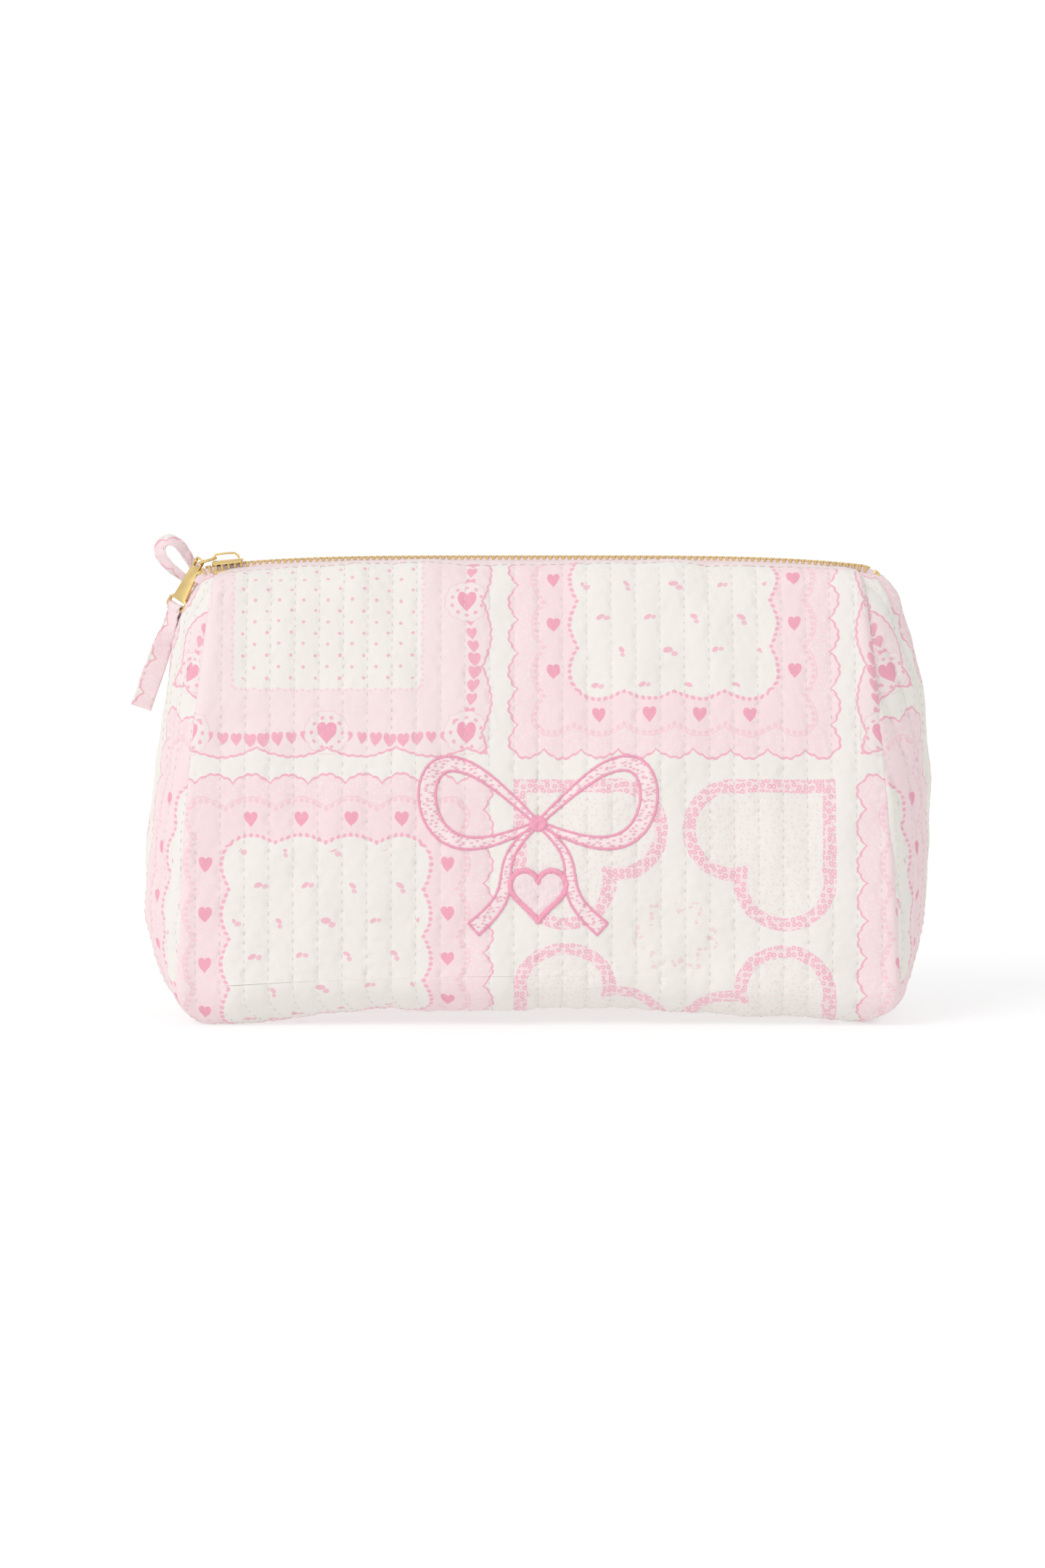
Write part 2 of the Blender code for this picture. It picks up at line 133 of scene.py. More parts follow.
def shell(name, outer, inner, cloth, materials, flip=False):
    """A closed piece between two grids of points. cloth holds each point's place on the flat fabric."""
    rows, columns = outer.shape[:2]
    count = rows * columns
    points = np.concatenate([outer.reshape(-1, 3), inner.reshape(-1, 3)])
    outside = grid_faces(rows, columns, 0, flip)
    inside = grid_faces(rows, columns, count, not flip)
    at = np.arange(count).reshape(rows, columns)
    rim = np.concatenate([at[0], at[1:, -1], at[-1, -2::-1], at[-2:0:-1, 0]])
    turned = np.roll(rim, -1)
    edge = np.stack([turned, rim, rim + count, turned + count], -1)
    if flip:
        edge = edge[:, ::-1]
    obj = add_mesh(name, points, np.concatenate([outside, inside, edge]))
    for material in materials:
        obj.data.materials.append(material)
    if len(materials) > 1:
        index = np.zeros(len(obj.data.polygons), np.int32)
        index[len(outside):len(outside) + len(inside)] = 1
        obj.data.polygons.foreach_set("material_index", index)
    flat = cloth.reshape(-1, 2)
    set_uv(obj, np.concatenate([flat, flat]) * MM)
    return obj


def unit(v):
    return v / np.maximum(np.linalg.norm(v, axis=-1, keepdims=True), 1e-9)


def headings(path):
    """Unit directions along a path."""
    return unit(np.gradient(path, axis=0))


def left_of(ahead):
    return np.stack([-ahead[:, 1], ahead[:, 0]], -1)


def length_along(path):
    """Distance from a path's start to each of its points."""
    return np.concatenate([[0], np.cumsum(np.linalg.norm(np.diff(path, axis=0), axis=1))])


def normals_of(points):
    """Unit normals of a grid of points: along its columns crossed with up its rows."""
    across = np.gradient(points, axis=1)
    up = np.gradient(points, axis=0)
    return unit(np.cross(across, up))


def ease(t):
    t = np.clip(t, 0.0, 1.0)
    return t * t * (3 - 2 * t)


class Waves:
    """A smooth field made of a few dozen sine waves, the same on every run."""

    def __init__(self, shortest, longest, count):
        length = RANDOM.uniform(shortest, longest, count)
        turn = RANDOM.uniform(0, 2 * math.pi, count)
        self.kx = 2 * math.pi / length * np.cos(turn)
        self.kz = 2 * math.pi / length * np.sin(turn)
        self.shift = RANDOM.uniform(0, 2 * math.pi, count)
        self.scale = 1 / math.sqrt(count / 2)

    def __call__(self, x, z):
        total = np.zeros(np.broadcast(x, z).shape)
        for kx, kz, shift in zip(self.kx, self.kz, self.shift):
            total = total + np.sin(kx * x + kz * z + shift)
        return total * self.scale


# ---------------------------------------------------------------- the bag's form

def share(z):
    return np.clip((np.asarray(z, float) - BASE_TOP) / (PANEL_TOP - BASE_TOP), 0.0, 1.0)


def half_width(z):
    z = np.asarray(z, float)
    low = np.maximum(1 - z / BASE_TOP, 0.0)
    under = np.clip((TUCK_UP - z) / TUCK_UP, 0.0, 1.0)
    corner = 3.0 * low ** 2 + TUCK_IN * (1 - np.sqrt(1 - under ** 2))
    return HALF_WIDTH - WIDTH_TAPER * share(z) ** 1.6 - corner


def half_depth(z):
    return HALF_DEPTH_TOP + (HALF_DEPTH_BASE - HALF_DEPTH_TOP) * (1 - share(z) ** 2.2)


def crown(z):
    return CROWN * np.sin(math.pi * share(z))


def zip_slope(s):
    s = np.abs(s)
    easy = ZIP_EASE * (np.minimum(s, ZIP_BEND) / ZIP_BEND) ** 3
    return easy + (ZIP_TURN - ZIP_EASE) * np.maximum(s - ZIP_BEND, 0.0) / (ZIP_LENGTH - ZIP_BEND)


ALONG = np.linspace(0, ZIP_LENGTH + 2, 1241)
_STEP = ALONG[1] - ALONG[0]
_MID = zip_slope((ALONG[:-1] + ALONG[1:]) / 2)
ZIP_X = np.concatenate([[0], np.cumsum(np.cos(_MID)) * _STEP])
ZIP_Z = ZIP_MIDDLE - np.concatenate([[0], np.cumsum(np.sin(_MID)) * _STEP])


def zip_point(s, y, n=0.0):
    """A point at s along the chain from the middle, y across it and n above it."""
    s = np.asarray(s, float)
    slope = zip_slope(s)
    x = np.interp(np.abs(s), ALONG, ZIP_X) + n * np.sin(slope)
    z = np.interp(np.abs(s), ALONG, ZIP_Z) + n * np.cos(slope)
    return np.stack(np.broadcast_arrays(np.sign(s) * x, y, z), -1)


def zip_height(x):
    return np.interp(np.abs(x), ZIP_X, ZIP_Z)


def parting(s):
    return PARTED * ease((-s - PARTED_FROM) / PARTED_OVER)


def edge_lift(x, z):
    """How far the cloth's long lower edges lift between the bag's corners."""
    return EDGE_LIFT * np.clip(1 - (x / LIFT_ACROSS) ** 2, 0, 1) * np.exp(-(z / LIFT_UP) ** 2)


def settle(points):
    x, z = points[..., 0], points[..., 2]
    out = points.copy()
    out[..., 2] = np.maximum(z + edge_lift(x, z), FOOT)
    return out


def hem_from(drop):
    """Height where a panel starts to turn in to its hem, from how far the zip has fallen there."""
    return HEM_LOW - HEM_FALL * drop


def panel_profile(x_top, v):
    """Depth and height of a panel at v, from the base's edge at 0 to the hem's fold at 1."""
    drop = ZIP_MIDDLE - zip_height(x_top)
    z0 = hem_from(drop)
    z_fold = ZIP_MIDDLE - 0.35 - drop
    y0 = half_depth(z0)
    lean = half_depth(z0 - 0.5) - half_depth(z0 + 0.5)
    rise = z_fold - 1.1 - z0
    low = np.minimum(v / HEM_START, 1.0)
    z_low = PANEL_FOOT + low * (z0 - PANEL_FOOT)
    s = np.clip((v - HEM_START) / (1 - HEM_START), 0.0, 1.0)
    y_up = (1 - s) ** 2 * y0 + 2 * s * (1 - s) * (y0 - lean * rise) + s * s * HEM_EDGE
    z_up = (1 - s) ** 2 * z0 + 2 * s * (1 - s) * (z0 + rise) + s * s * z_fold
    upper = v > HEM_START
    return np.where(upper, y_up, half_depth(z_low)), np.where(upper, z_up, z_low)


def panel_base(columns, v):
    """Points of the front panel's outer face before it is quilted. columns are distances from the middle."""
    x0, vv = np.meshgrid(columns, v)
    u = x0 / HALF_WIDTH
    y, z = panel_profile(np.abs(u) * half_width(PANEL_TOP), vv)
    narrow = (HALF_WIDTH - half_width(z)) * ease((np.abs(x0) - 40) / 84)
    x = x0 - np.sign(x0) * narrow
    y = y - crown(z) * (x / half_width(z)) ** 2
    return np.stack([x, -y, z], -1)


def arc_up(points):
    """How far up the cloth each point of a grid lies, along its own column."""
    step = np.linalg.norm(np.diff(points[:, :, 1:], axis=0), axis=-1)
    return np.concatenate([np.zeros((1, points.shape[1])), np.cumsum(step, axis=0)])


PUCKER = Waves(2.2, 6.0, 40)
RIPPLE = Waves(14.0, 40.0, 30)
SWELL = Waves(55.0, 130.0, 14)


def stitch_nearness(across):
    """1 on a stitch line and 0 midway between two."""
    phase = across / CHANNEL
    return np.abs(phase - np.floor(phase) - 0.5) * 2


def quilt_relief(across, up, puff=PUFF):
    """Height of quilted cloth over its stitched lines, with the puckers that the thread draws up."""
    t = stitch_nearness(across)
    pillow = puff * (np.maximum(1 - t * t, 0.0) ** 0.6 - 1)
    pucker = 0.21 * PUCKER(across, up) * (0.25 + 0.75 * t * t)
    return pillow + pucker + 0.35 * RIPPLE(across, up) + 0.5 * SWELL(across, up)


def finer(limit, per_channel):
    """Distances from the middle out to limit, with the same number in each quilted channel."""
    return np.append(np.arange(0, limit - 0.3, CHANNEL / per_channel), limit)


# ---------------------------------------------------------------- materials

def new_material(name):
    material = bpy.data.materials.new(name)
    material.use_nodes = True
    return material, material.node_tree, material.node_tree.nodes["Principled BSDF"]


def object_noise(tree, scale, detail=2.0):
    place = tree.nodes.new("ShaderNodeTexCoord")
    noise = tree.nodes.new("ShaderNodeTexNoise")
    noise.inputs["Scale"].default_value = scale
    noise.inputs["Detail"].default_value = detail
    tree.links.new(place.outputs["Object"], noise.inputs["Vector"])
    return noise.outputs["Fac"]


def mixed_colour(tree, factor, one, other):
    """A colour between two. The first may be a plain colour or another node's output."""
    mix = tree.nodes.new("ShaderNodeMix")
    mix.data_type = "RGBA"
    tree.links.new(factor, mix.inputs["Factor"])
    if isinstance(one, tuple):
        mix.inputs["A"].default_value = (*one, 1)
    else:
        tree.links.new(one, mix.inputs["A"])
    mix.inputs["B"].default_value = (*other, 1)
    return mix.outputs["Result"]


def shades(colour, dark, light, brightest=1.0):
    """A darker and a lighter shade of a colour."""
    return tuple(c * dark for c in colour), tuple(min(c * light, brightest) for c in colour)


def add_bump(tree, shader, height, strength, distance):
    bump = tree.nodes.new("ShaderNodeBump")
    bump.inputs["Strength"].default_value = strength
    bump.inputs["Distance"].default_value = distance
    tree.links.new(height, bump.inputs["Height"])
    tree.links.new(bump.outputs["Normal"], shader.inputs["Normal"])


def plain_cloth(name, colour, thread=0.35, roughness=0.85):
    material, tree, shader = new_material(name)
    shader.inputs["Roughness"].default_value = roughness
    shader.inputs["Sheen Weight"].default_value = 0.15
    paint = mixed_colour(tree, object_noise(tree, 120, 4.0), *shades(colour, 0.93, 1.05))
    tree.links.new(paint, shader.inputs["Base Color"])
    add_bump(tree, shader, object_noise(tree, 1 / (thread * MM)), 0.25, 0.0002)
    return material


def brass(name, colour=(0.83, 0.62, 0.27), roughness=0.24):
    material, tree, shader = new_material(name)
    shader.inputs["Metallic"].default_value = 1.0
    wear = object_noise(tree, 260, 5.0)
    tree.links.new(mixed_colour(tree, wear, *shades(colour, 0.86, 1.1)), shader.inputs["Base Color"])
    spread = tree.nodes.new("ShaderNodeMapRange")
    spread.inputs["To Min"].default_value = roughness * 0.8
    spread.inputs["To Max"].default_value = roughness * 1.5
    tree.links.new(wear, spread.inputs["Value"])
    tree.links.new(spread.outputs["Result"], shader.inputs["Roughness"])
    return material


def satin_thread(name, colour, pitch=0.36):
    """Close parallel threads, with painted sheen and shade: the colour is lighter on the thread ridges and
    streaks and darker in the grooves between them. The UV map runs along the work, in metres.
    """
    material, tree, shader = new_material(name)
    Field.tree = tree
    x, y = flat_cloth(tree)
    drift = clouds(x, y, 1.3) * 0.5
    ridge = sine((x + drift * 0.5 + y * 0.18) * (2 * math.pi / pitch))
    shade = clouds(x, y * 0.15, 0.55, 3.0)
    # painted sheen and shade: the colour follows the ridges and streaks of the bump, lighter on top and darker in
    # the grooves between threads
    weight = shade * 0.75 + ridge * 0.16 + 0.14
    paint = mixed_colour(tree, weight.socket, *shades(colour, 0.90, 1.16, 0.96))
    tree.links.new(paint, shader.inputs["Base Color"])
    shader.inputs["Roughness"].default_value = 0.48
    shader.inputs["Sheen Weight"].default_value = 0.2
    add_bump(tree, shader, (ridge * 0.5 + shade).socket, 0.7, 0.00012)
    return material


def dashed_fill(name):
    """Open stitching: cream cloth that shows between short pink stitches."""
    material, tree, shader = new_material(name)
    Field.tree = tree
    x, y = flat_cloth(tree)
    dash = within(cell_points(x * 0.45 + y * 0.35, y * 0.9 - x * 0.25, 1.15) - 0.30, 0.3)
    fine = clouds(x, y, 0.8, 4.0)
    weight = dash * 0.75 + fine * 0.42 - 0.08
    paint = mixed_colour(tree, weight.socket, (0.86, 0.77, 0.75), (0.80, 0.38, 0.50))
    tree.links.new(paint, shader.inputs["Base Color"])
    shader.inputs["Roughness"].default_value = 0.65
    add_bump(tree, shader, (dash + fine).socket, 0.6, 0.0002)
    return material


def flat_cloth(tree):
    """Where a point lies on the flat cloth, in millimetres, from the UV map."""
    place = tree.nodes.new("ShaderNodeUVMap")
    place.uv_map = "cloth"
    parts = tree.nodes.new("ShaderNodeSeparateXYZ")
    tree.links.new(place.outputs["UV"], parts.inputs[0])
    return Field(parts.outputs[0]) * 1000.0, Field(parts.outputs[1]) * 1000.0


class Field:
    """A number that changes over the cloth, worked out by a material's Math nodes."""

    tree = None

    def __init__(self, socket):
        self.socket = socket

    @staticmethod
    def made(kind, *values, clamp=False):
        node = Field.tree.nodes.new("ShaderNodeMath")
        node.operation = kind
        node.use_clamp = clamp
        for slot, value in zip(node.inputs, values):
            if isinstance(value, Field):
                Field.tree.links.new(value.socket, slot)
            else:
                slot.default_value = value
        return Field(node.outputs[0])

    def __add__(self, other):
        return Field.made("ADD", self, other)

    def __sub__(self, other):
        return Field.made("SUBTRACT", self, other)

    def __rsub__(self, other):
        return Field.made("SUBTRACT", other, self)

    def __mul__(self, other):
        return Field.made("MULTIPLY", self, other)

    def __truediv__(self, other):
        return Field.made("DIVIDE", self, other)

    __radd__ = __add__
    __rmul__ = __mul__


def size_of(f):
    return Field.made("ABSOLUTE", f)


def sine(f):
    return Field.made("SINE", f)


def root(f):
    return Field.made("SQRT", f)


def all_of(kind, fields):
    out = fields[0]
    for f in fields[1:]:
        out = Field.made(kind, out, f)
    return out


def least(*fields):
    return all_of("MINIMUM", fields)


def most(*fields):
    return all_of("MAXIMUM", fields)


def round_most(p, q, corner):
    return Field.made("SMOOTH_MAX", p, q, corner)


def distance(x, y):
    return root(x * x + y * y)


def wrapped(f, pitch, shift=0.0):
    """Distance from the nearest of a row of places that lie pitch apart, from -pitch/2 to pitch/2."""
    return Field.made("FRACT", f * (1 / pitch) + (0.5 - shift / pitch)) * pitch - pitch / 2


def within(f, soft=0.22):
    """1 where f is under 0, 0 where it is over, and a soft edge between."""
    return Field.made("ADD", f * (-1 / soft), 0.5, clamp=True)


def chosen(pick, one, other):
    return other + pick * (one - other)


def lobes(f, pitch, shift=0.0):
    """Round lobes with sharp valleys between. A valley is at shift."""
    return size_of(sine((f - shift) * (math.pi / pitch)))


def heart(x, y, size):
    """Under 0 inside an upright heart."""
    u = size_of(x) / size
    w = y / size + 0.32 - 0.78 * root(u)
    return (u * u + w * w - 0.85) * (size * 0.5)


def line(f, half):
    return within(size_of(f) - half)


def beads(f, along, pitch, radius):
    """A row of round beads along the line where f is 0."""
    return within(distance(f, wrapped(along, pitch)) - radius, 0.3)


def cloth_texture(kind, x, y, size):
    """A texture node that reads the flat cloth, with features about as large as size."""
    place = Field.tree.nodes.new("ShaderNodeCombineXYZ")
    Field.tree.links.new(x.socket, place.inputs[0])
    Field.tree.links.new(y.socket, place.inputs[1])
    node = Field.tree.nodes.new(kind)
    node.inputs["Scale"].default_value = 1 / size
    Field.tree.links.new(place.outputs[0], node.inputs["Vector"])
    return node


def cell_points(x, y, pitch, spread=1.0):
    """Distance from the nearest of many scattered points, in the same units as x and y."""
    node = cloth_texture("ShaderNodeTexVoronoi", x, y, pitch)
    node.voronoi_dimensions = "2D"
    node.inputs["Randomness"].default_value = spread
    return Field(node.outputs["Distance"]) * pitch


def clouds(x, y, size, detail=2.0):
    node = cloth_texture("ShaderNodeTexNoise", x, y, size)
    node.noise_dimensions = "2D"
    node.inputs["Detail"].default_value = detail
    return Field(node.outputs["Fac"])


def upright_hearts(a, b, p, q, side, middle, pitch, shift, size):
    """Hearts in a row round all four sides of a square, all with their points down."""
    up = Field.made("SIGN", b)
    x = chosen(side, p - middle, wrapped(a, pitch, shift))
    y = chosen(side, wrapped(b, pitch, shift), (q - middle) * up)
    return heart(x, y, size)


def frilled_square(a, b, p, q, n, side):
    """A lace-edged band with a scalloped window: how much pale ink, and how much strong ink."""
    m = round_most(p, q, 9.0)
    outline = m - 53.7 - 2.9 * lobes(n, 12.9, 6.45) - 0.6 * lobes(n, 3.2)
    window = m - 32.6 - 2.7 * lobes(n, 17.3)
    arch = m - 45.8 - 3.4 * lobes(n, 17.3)
    holes = within(cell_points(a, b, 1.9) - 0.42, 0.35)
    band = within(outline) * (1 - within(window))
    lace = most(within(0 - arch) * 0.75, 0.30)
    pale = band * (1 - holes * lace * 0.8)
    ring = line(arch, 0.25) * 0.30 + beads(arch + 1.1, n, 2.16, 0.75) * 0.33
    hearts = within(upright_hearts(a, b, p, q, side, 41.6, 17.3, 8.65, 2.5))
    ink = most(line(outline, 0.42) * 0.80, beads(window - 0.7, n, 2.16, 0.72) * 0.78, ring * band,
               hearts * within(size_of(n) - 38.0) * band)
    row = Field.made("FLOOR", b * (1 / 12.4))
    x = wrapped(a + row * 7.1, 16.2)
    y = wrapped(b, 12.4, 6.2)
    column = Field.made("FLOOR", (a + row * 7.1) * (1 / 16.2) + 0.5)
    lean = sine(row * 2.3 + column * 1.7) * 0.9
    petal = distance((x + lean * y) / 1.7, (y - lean * x) / 1.0) - 1
    second = distance((x - 2.1 + lean * y) / 1.2, (y + 1.5 - lean * x) / 0.95) - 1
    petals = most(within(petal) * 0.72, within(second) * 0.62) * within(window + 3.0)
    return pale, most(ink, petals)


def dotted_square(a, b, p, q, n, side):
    """A dotted window in a band with lace rounds and hung hearts along its edge."""
    m = round_most(p, q, 6.0)
    outline = m - 53.2 - 3.0 * lobes(n, 24.0) - 0.4 * lobes(n, 3.0)
    window = m - 32.0 - 0.5 * lobes(n, 4.2)
    x, y = wrapped(n, 48.0), m - 48.0
    round_lace = distance(x, y)
    turn = Field.made("ARCTAN2", y, x)
    edge = round_lace - 7.3 - 0.5 * size_of(sine(turn * 6.0))
    spots = distance(round_lace - 5.3, sine(turn * 5.0) * 0.95) - 0.62
    hang = size_of(wrapped(n, 48.0, 24.0)) * (1 / 24)
    chain = 51.0 - hang * 2.6
    garland = upright_hearts(a, b, p, q, side, chain, 4.8, 2.4, 2.5) + hang * 0.75
    chain_place = within(size_of(m - chain) - 2.5)
    pale = within(outline) * (1 - within(window)) * 0.72 * (1 - within(edge) * 0.35)
    dot = least(distance(wrapped(a, 8.4), wrapped(b, 8.2)),
                distance(wrapped(a, 8.4, 4.2), wrapped(b, 8.2, 4.1)))
    ink = most(line(outline, 0.40) * 0.80,
               within(garland) * chain_place * (1 - within(edge)) * 0.85,
               within(upright_hearts(a, b, p, q, side, 48.0, 48.0, 0.0, 3.6)),
               within(spots) * 0.75, line(edge, 0.14) * 0.45,
               within(dot - 0.62, 0.35) * within(window + 2.0) * 0.75,
               beads(window - 0.6, n, 2.1, 0.5) * 0.28)
    return pale, ink


def four_hearts(a, b, p, q, n, side):
    """Four big hearts with daisy borders, their points in the square's corners, round a faint wreath."""
    reach, square = 55.3, 35.2
    box = most(size_of(p - reach + square / 2), size_of(q - reach + square / 2)) - square / 2
    body = least(box, distance(p - reach + square, q - reach + square / 2) - square / 2,
                 distance(p - reach + square / 2, q - reach + square) - square / 2)
    daisies = cell_points(a, b, 2.1, 0.55)
    border = within(body) * within(0 - body - 4.6)
    pale = border * 0.85
    ink = border * most(line(daisies - 0.62, 0.20) * 0.85, within(daisies - 0.26) * 0.40)
    inside = within(body + 4.6)
    tiny = within(cell_points(a, b, 2.0, 0.8) - 0.40, 0.3) * inside * 0.20
    wreath = line(distance(p, q) - 11.5 - 2.2 * sine(Field.made("ARCTAN2", q, p) * 8.0), 1.1)
    leaves = wreath * within(cell_points(a, b, 2.4) - 0.85) * 0.34
    return most(pale, inside * 0.05), most(ink, tiny, leaves)


def cloth_print(x, y):
    """Pale and strong ink of the whole cloth, made of three kinds of printed squares."""
    wobble = 0.9
    x = x + (clouds(x, y, 5.0) - 0.5) * wobble
    y = y + (clouds(x + 40.0, y, 5.0) - 0.5) * wobble
    column = Field.made("FLOOR", (x - TILE_X) * (1 / TILE))
    row = Field.made("FLOOR", (y - TILE_UP) * (1 / TILE))
    a, b = wrapped(x, TILE, TILE_X + TILE / 2), wrapped(y, TILE, TILE_UP + TILE / 2)
    p, q = size_of(a), size_of(b)
    n = least(p, q)
    side = within(q - p, 0.02)
    odd_column = Field.made("PINGPONG", column, 1.0)
    odd_row = Field.made("PINGPONG", row, 1.0)
    dotted = odd_column * (1 - odd_row)
    hearts = (1 - odd_column) * odd_row
    frill = 1 - dotted - hearts
    shares = [(frill, frilled_square), (dotted, dotted_square), (hearts, four_hearts)]
    pale = ink = 0.0
    for share_here, square in shares:
        one, two = square(a, b, p, q, n, side)
        pale = one * share_here + pale
        ink = two * share_here + ink
    return pale, ink


def printed_cloth(name, weave=0.30):
    """Cream cotton with pink ink. Its UV map is the flat cloth, in metres."""
    material, tree, shader = new_material(name)
    Field.tree = tree
    x, y = flat_cloth(tree)
    pale, ink = cloth_print(x, y)
    worn = 0.72 + clouds(x, y, 9.0, 4.0) * 0.55
    pale = pale * worn
    ink = ink * (0.80 + clouds(x, y, 1.6, 3.0) * 0.4)
    colour = mixed_colour(tree, pale.socket, CREAM, PALE_PINK)
    colour = mixed_colour(tree, ink.socket, colour, STRONG_PINK)
    tree.links.new(colour, shader.inputs["Base Color"])
    shader.inputs["Roughness"].default_value = 0.86
    shader.inputs["Sheen Weight"].default_value = 0.12
    turn = 2 * math.pi / weave
    threads = sine(x * turn) * 0.5 + sine(y * turn) * 0.5
    height = threads * 0.02 + clouds(x, y, 0.9, 3.0) * 0.10 + clouds(x * 0.35, y, 3.0, 3.0) * 0.35
    add_bump(tree, shader, height.socket, 0.55, 0.001)
    return material


CREAM = (0.805, 0.775, 0.725)
PALE_PINK = (0.850, 0.668, 0.690)
STRONG_PINK = (0.815, 0.365, 0.475)
PRINT = printed_cloth("printed_cotton")
INSIDE = plain_cloth("wadding_side", (0.80, 0.79, 0.76))
LINING = plain_cloth("cotton_lining", (0.87, 0.82, 0.79))
TAPE = plain_cloth("zip_tape_cloth", (0.82, 0.66, 0.69), thread=0.5)
BRASS = brass("zip_brass")
TEETH_BRASS = brass("tooth_brass", (0.78, 0.58, 0.27), 0.32)
# the three satin materials carry painted sheen and shade in their colour, from satin_thread
SATIN = satin_thread("embroidery_pink", (0.85, 0.365, 0.50))
DEEP_SATIN = satin_thread("embroidery_deep_pink", (0.88, 0.36, 0.49), 0.42)
PALE_SATIN = satin_thread("embroidery_pale_pink", (0.97, 0.735, 0.755), 0.30)
DASHED = dashed_fill("embroidery_open_fill")
FACING_CLOTH = plain_cloth("hem_facing", (0.80, 0.685, 0.685), thread=0.4)
THREAD = plain_cloth("quilting_thread", (0.74, 0.70, 0.66), thread=0.2, roughness=0.6)
PINK_THREAD = plain_cloth("hem_thread", (0.78, 0.62, 0.63), thread=0.2, roughness=0.6)


# ---------------------------------------------------------------- thread

def stitches(name, lines, material, length=1.7, gap=1.5, radius=0.15):
    """Short stitches along lines. Each line is its points and the cloth's normals at them."""
    ring = 6
    angles = np.arange(ring) * 2 * math.pi / ring
    points, faces = [], []
    for path, normal in lines:
        along = length_along(path)
        pitch = length + gap
        for start in np.arange(1.0, along[-1] - length - 0.5, pitch):
            at = start + length * np.array([0.0, 0.15, 0.5, 0.85, 1.0])
            centre = np.stack([np.interp(at, along, path[:, k]) for k in range(3)], -1)
            up = np.array([np.interp(at[2], along, normal[:, k]) for k in range(3)])
            up = unit(up)
            across = np.cross(unit(centre[-1] - centre[0]), up)
            grow = np.array([0.35, 0.85, 1.0, 0.85, 0.35]) * radius
            lift = np.array([-0.12, 0.04, 0.10, 0.04, -0.12])
            first = len(points) * ring
            for c, g, h in zip(centre, grow, lift):
                round_it = np.outer(np.cos(angles), across) + np.outer(np.sin(angles), up)
                points.append(c + up * h + g * round_it)
            for k in range(4):
                for i in range(ring):
                    j = (i + 1) % ring
                    a = first + k * ring
                    faces.append((a + i, a + j, a + ring + j, a + ring + i))
            faces.append(tuple(first + i for i in range(ring))[::-1])
            faces.append(tuple(first + 4 * ring + i for i in range(ring)))
    return add_mesh(name, np.concatenate(points), faces, material)


def valleys(across):
    """The columns that lie nearest to the quilting's stitch lines."""
    first, last = math.ceil(across.min() / CHANNEL), math.floor(across.max() / CHANNEL)
    return [int(np.abs(across - k * CHANNEL).argmin()) for k in range(first, last + 1)]


def crossing_lines(outer, normal, hand):
    """The quilting's lines on a half panel, each at its own distance from the middle all the way up."""
    lines = []
    for k in range(0 if hand > 0 else 1, int(HALF_WIDTH / CHANNEL) + 1):
        path, up = [], []
        for row, n in zip(outer, normal):
            x = row[:, 0] * hand
            if x.max() < k * CHANNEL + 3.5:
                break
            path.append([hand * k * CHANNEL, *(np.interp(k * CHANNEL, x, row[:, i]) for i in (1, 2))])
            up.append([np.interp(k * CHANNEL, x, n[:, i]) for i in range(3)])
        if len(path) > 12:
            lines.append((np.array(path)[:-3], np.array(up)[:-3]))
    return lines


def hem_line(outer, normal, up, below):
    """A line across a half panel, at one distance below its top edge."""
    path, n = [], []
    for k in range(outer.shape[1] - 3):
        at = up[-1, k] - below
        path.append([np.interp(at, up[:, k], outer[:, k, i]) for i in range(3)])
        n.append([np.interp(at, up[:, k], normal[:, k, i]) for i in range(3)])
    return np.array(path), np.array(n)


def mark_rows(piece, outer, rows, index):
    """Gives some rows of a shell's outer side another of its materials."""
    count = (outer.shape[0] - 1) * (outer.shape[1] - 1)
    slots = np.empty(len(piece.data.polygons), np.int32)
    piece.data.polygons.foreach_get("material_index", slots)
    marked = np.repeat(rows[1:], outer.shape[1] - 1)
    slots[:count][marked] = index
    piece.data.polygons.foreach_set("material_index", slots)


def sheet_of(grid):
    """Works out a grid's cell diagonals in metres, and keeps nothing."""
    g = grid * MM
    one, two = g[1:, 1:] - g[:-1, :-1], g[1:, :-1] - g[:-1, 1:]


# ---------------------------------------------------------------- the padded walls

def ride_panel(obj):
    """Bakes a half panel's world placement into its mesh, and leaves the object at the origin."""
    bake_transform(obj)


def under_base():
    """Length of the base's cloth, from one hinge line under the bag to the other."""
    return math.pi * BASE_TOP + 2 * (HALF_DEPTH_BASE - BASE_TOP)


def pulled_in(relief, from_seam, reach, depth):
    """Quilted cloth that a seam draws down, within reach of it."""
    turn = np.clip((reach - from_seam) / reach, 0, 1)
    return relief - depth * (1 - np.sqrt(np.maximum(1 - turn ** 2, 0.0)))


def half_panel(side, hand, columns, v):
    """Points and normals of the outer face of half of the front or the back, before it is quilted."""
    base = panel_base(hand * columns, v)
    base[..., 1] *= -side
    return base, normals_of(base) * (-hand * side)


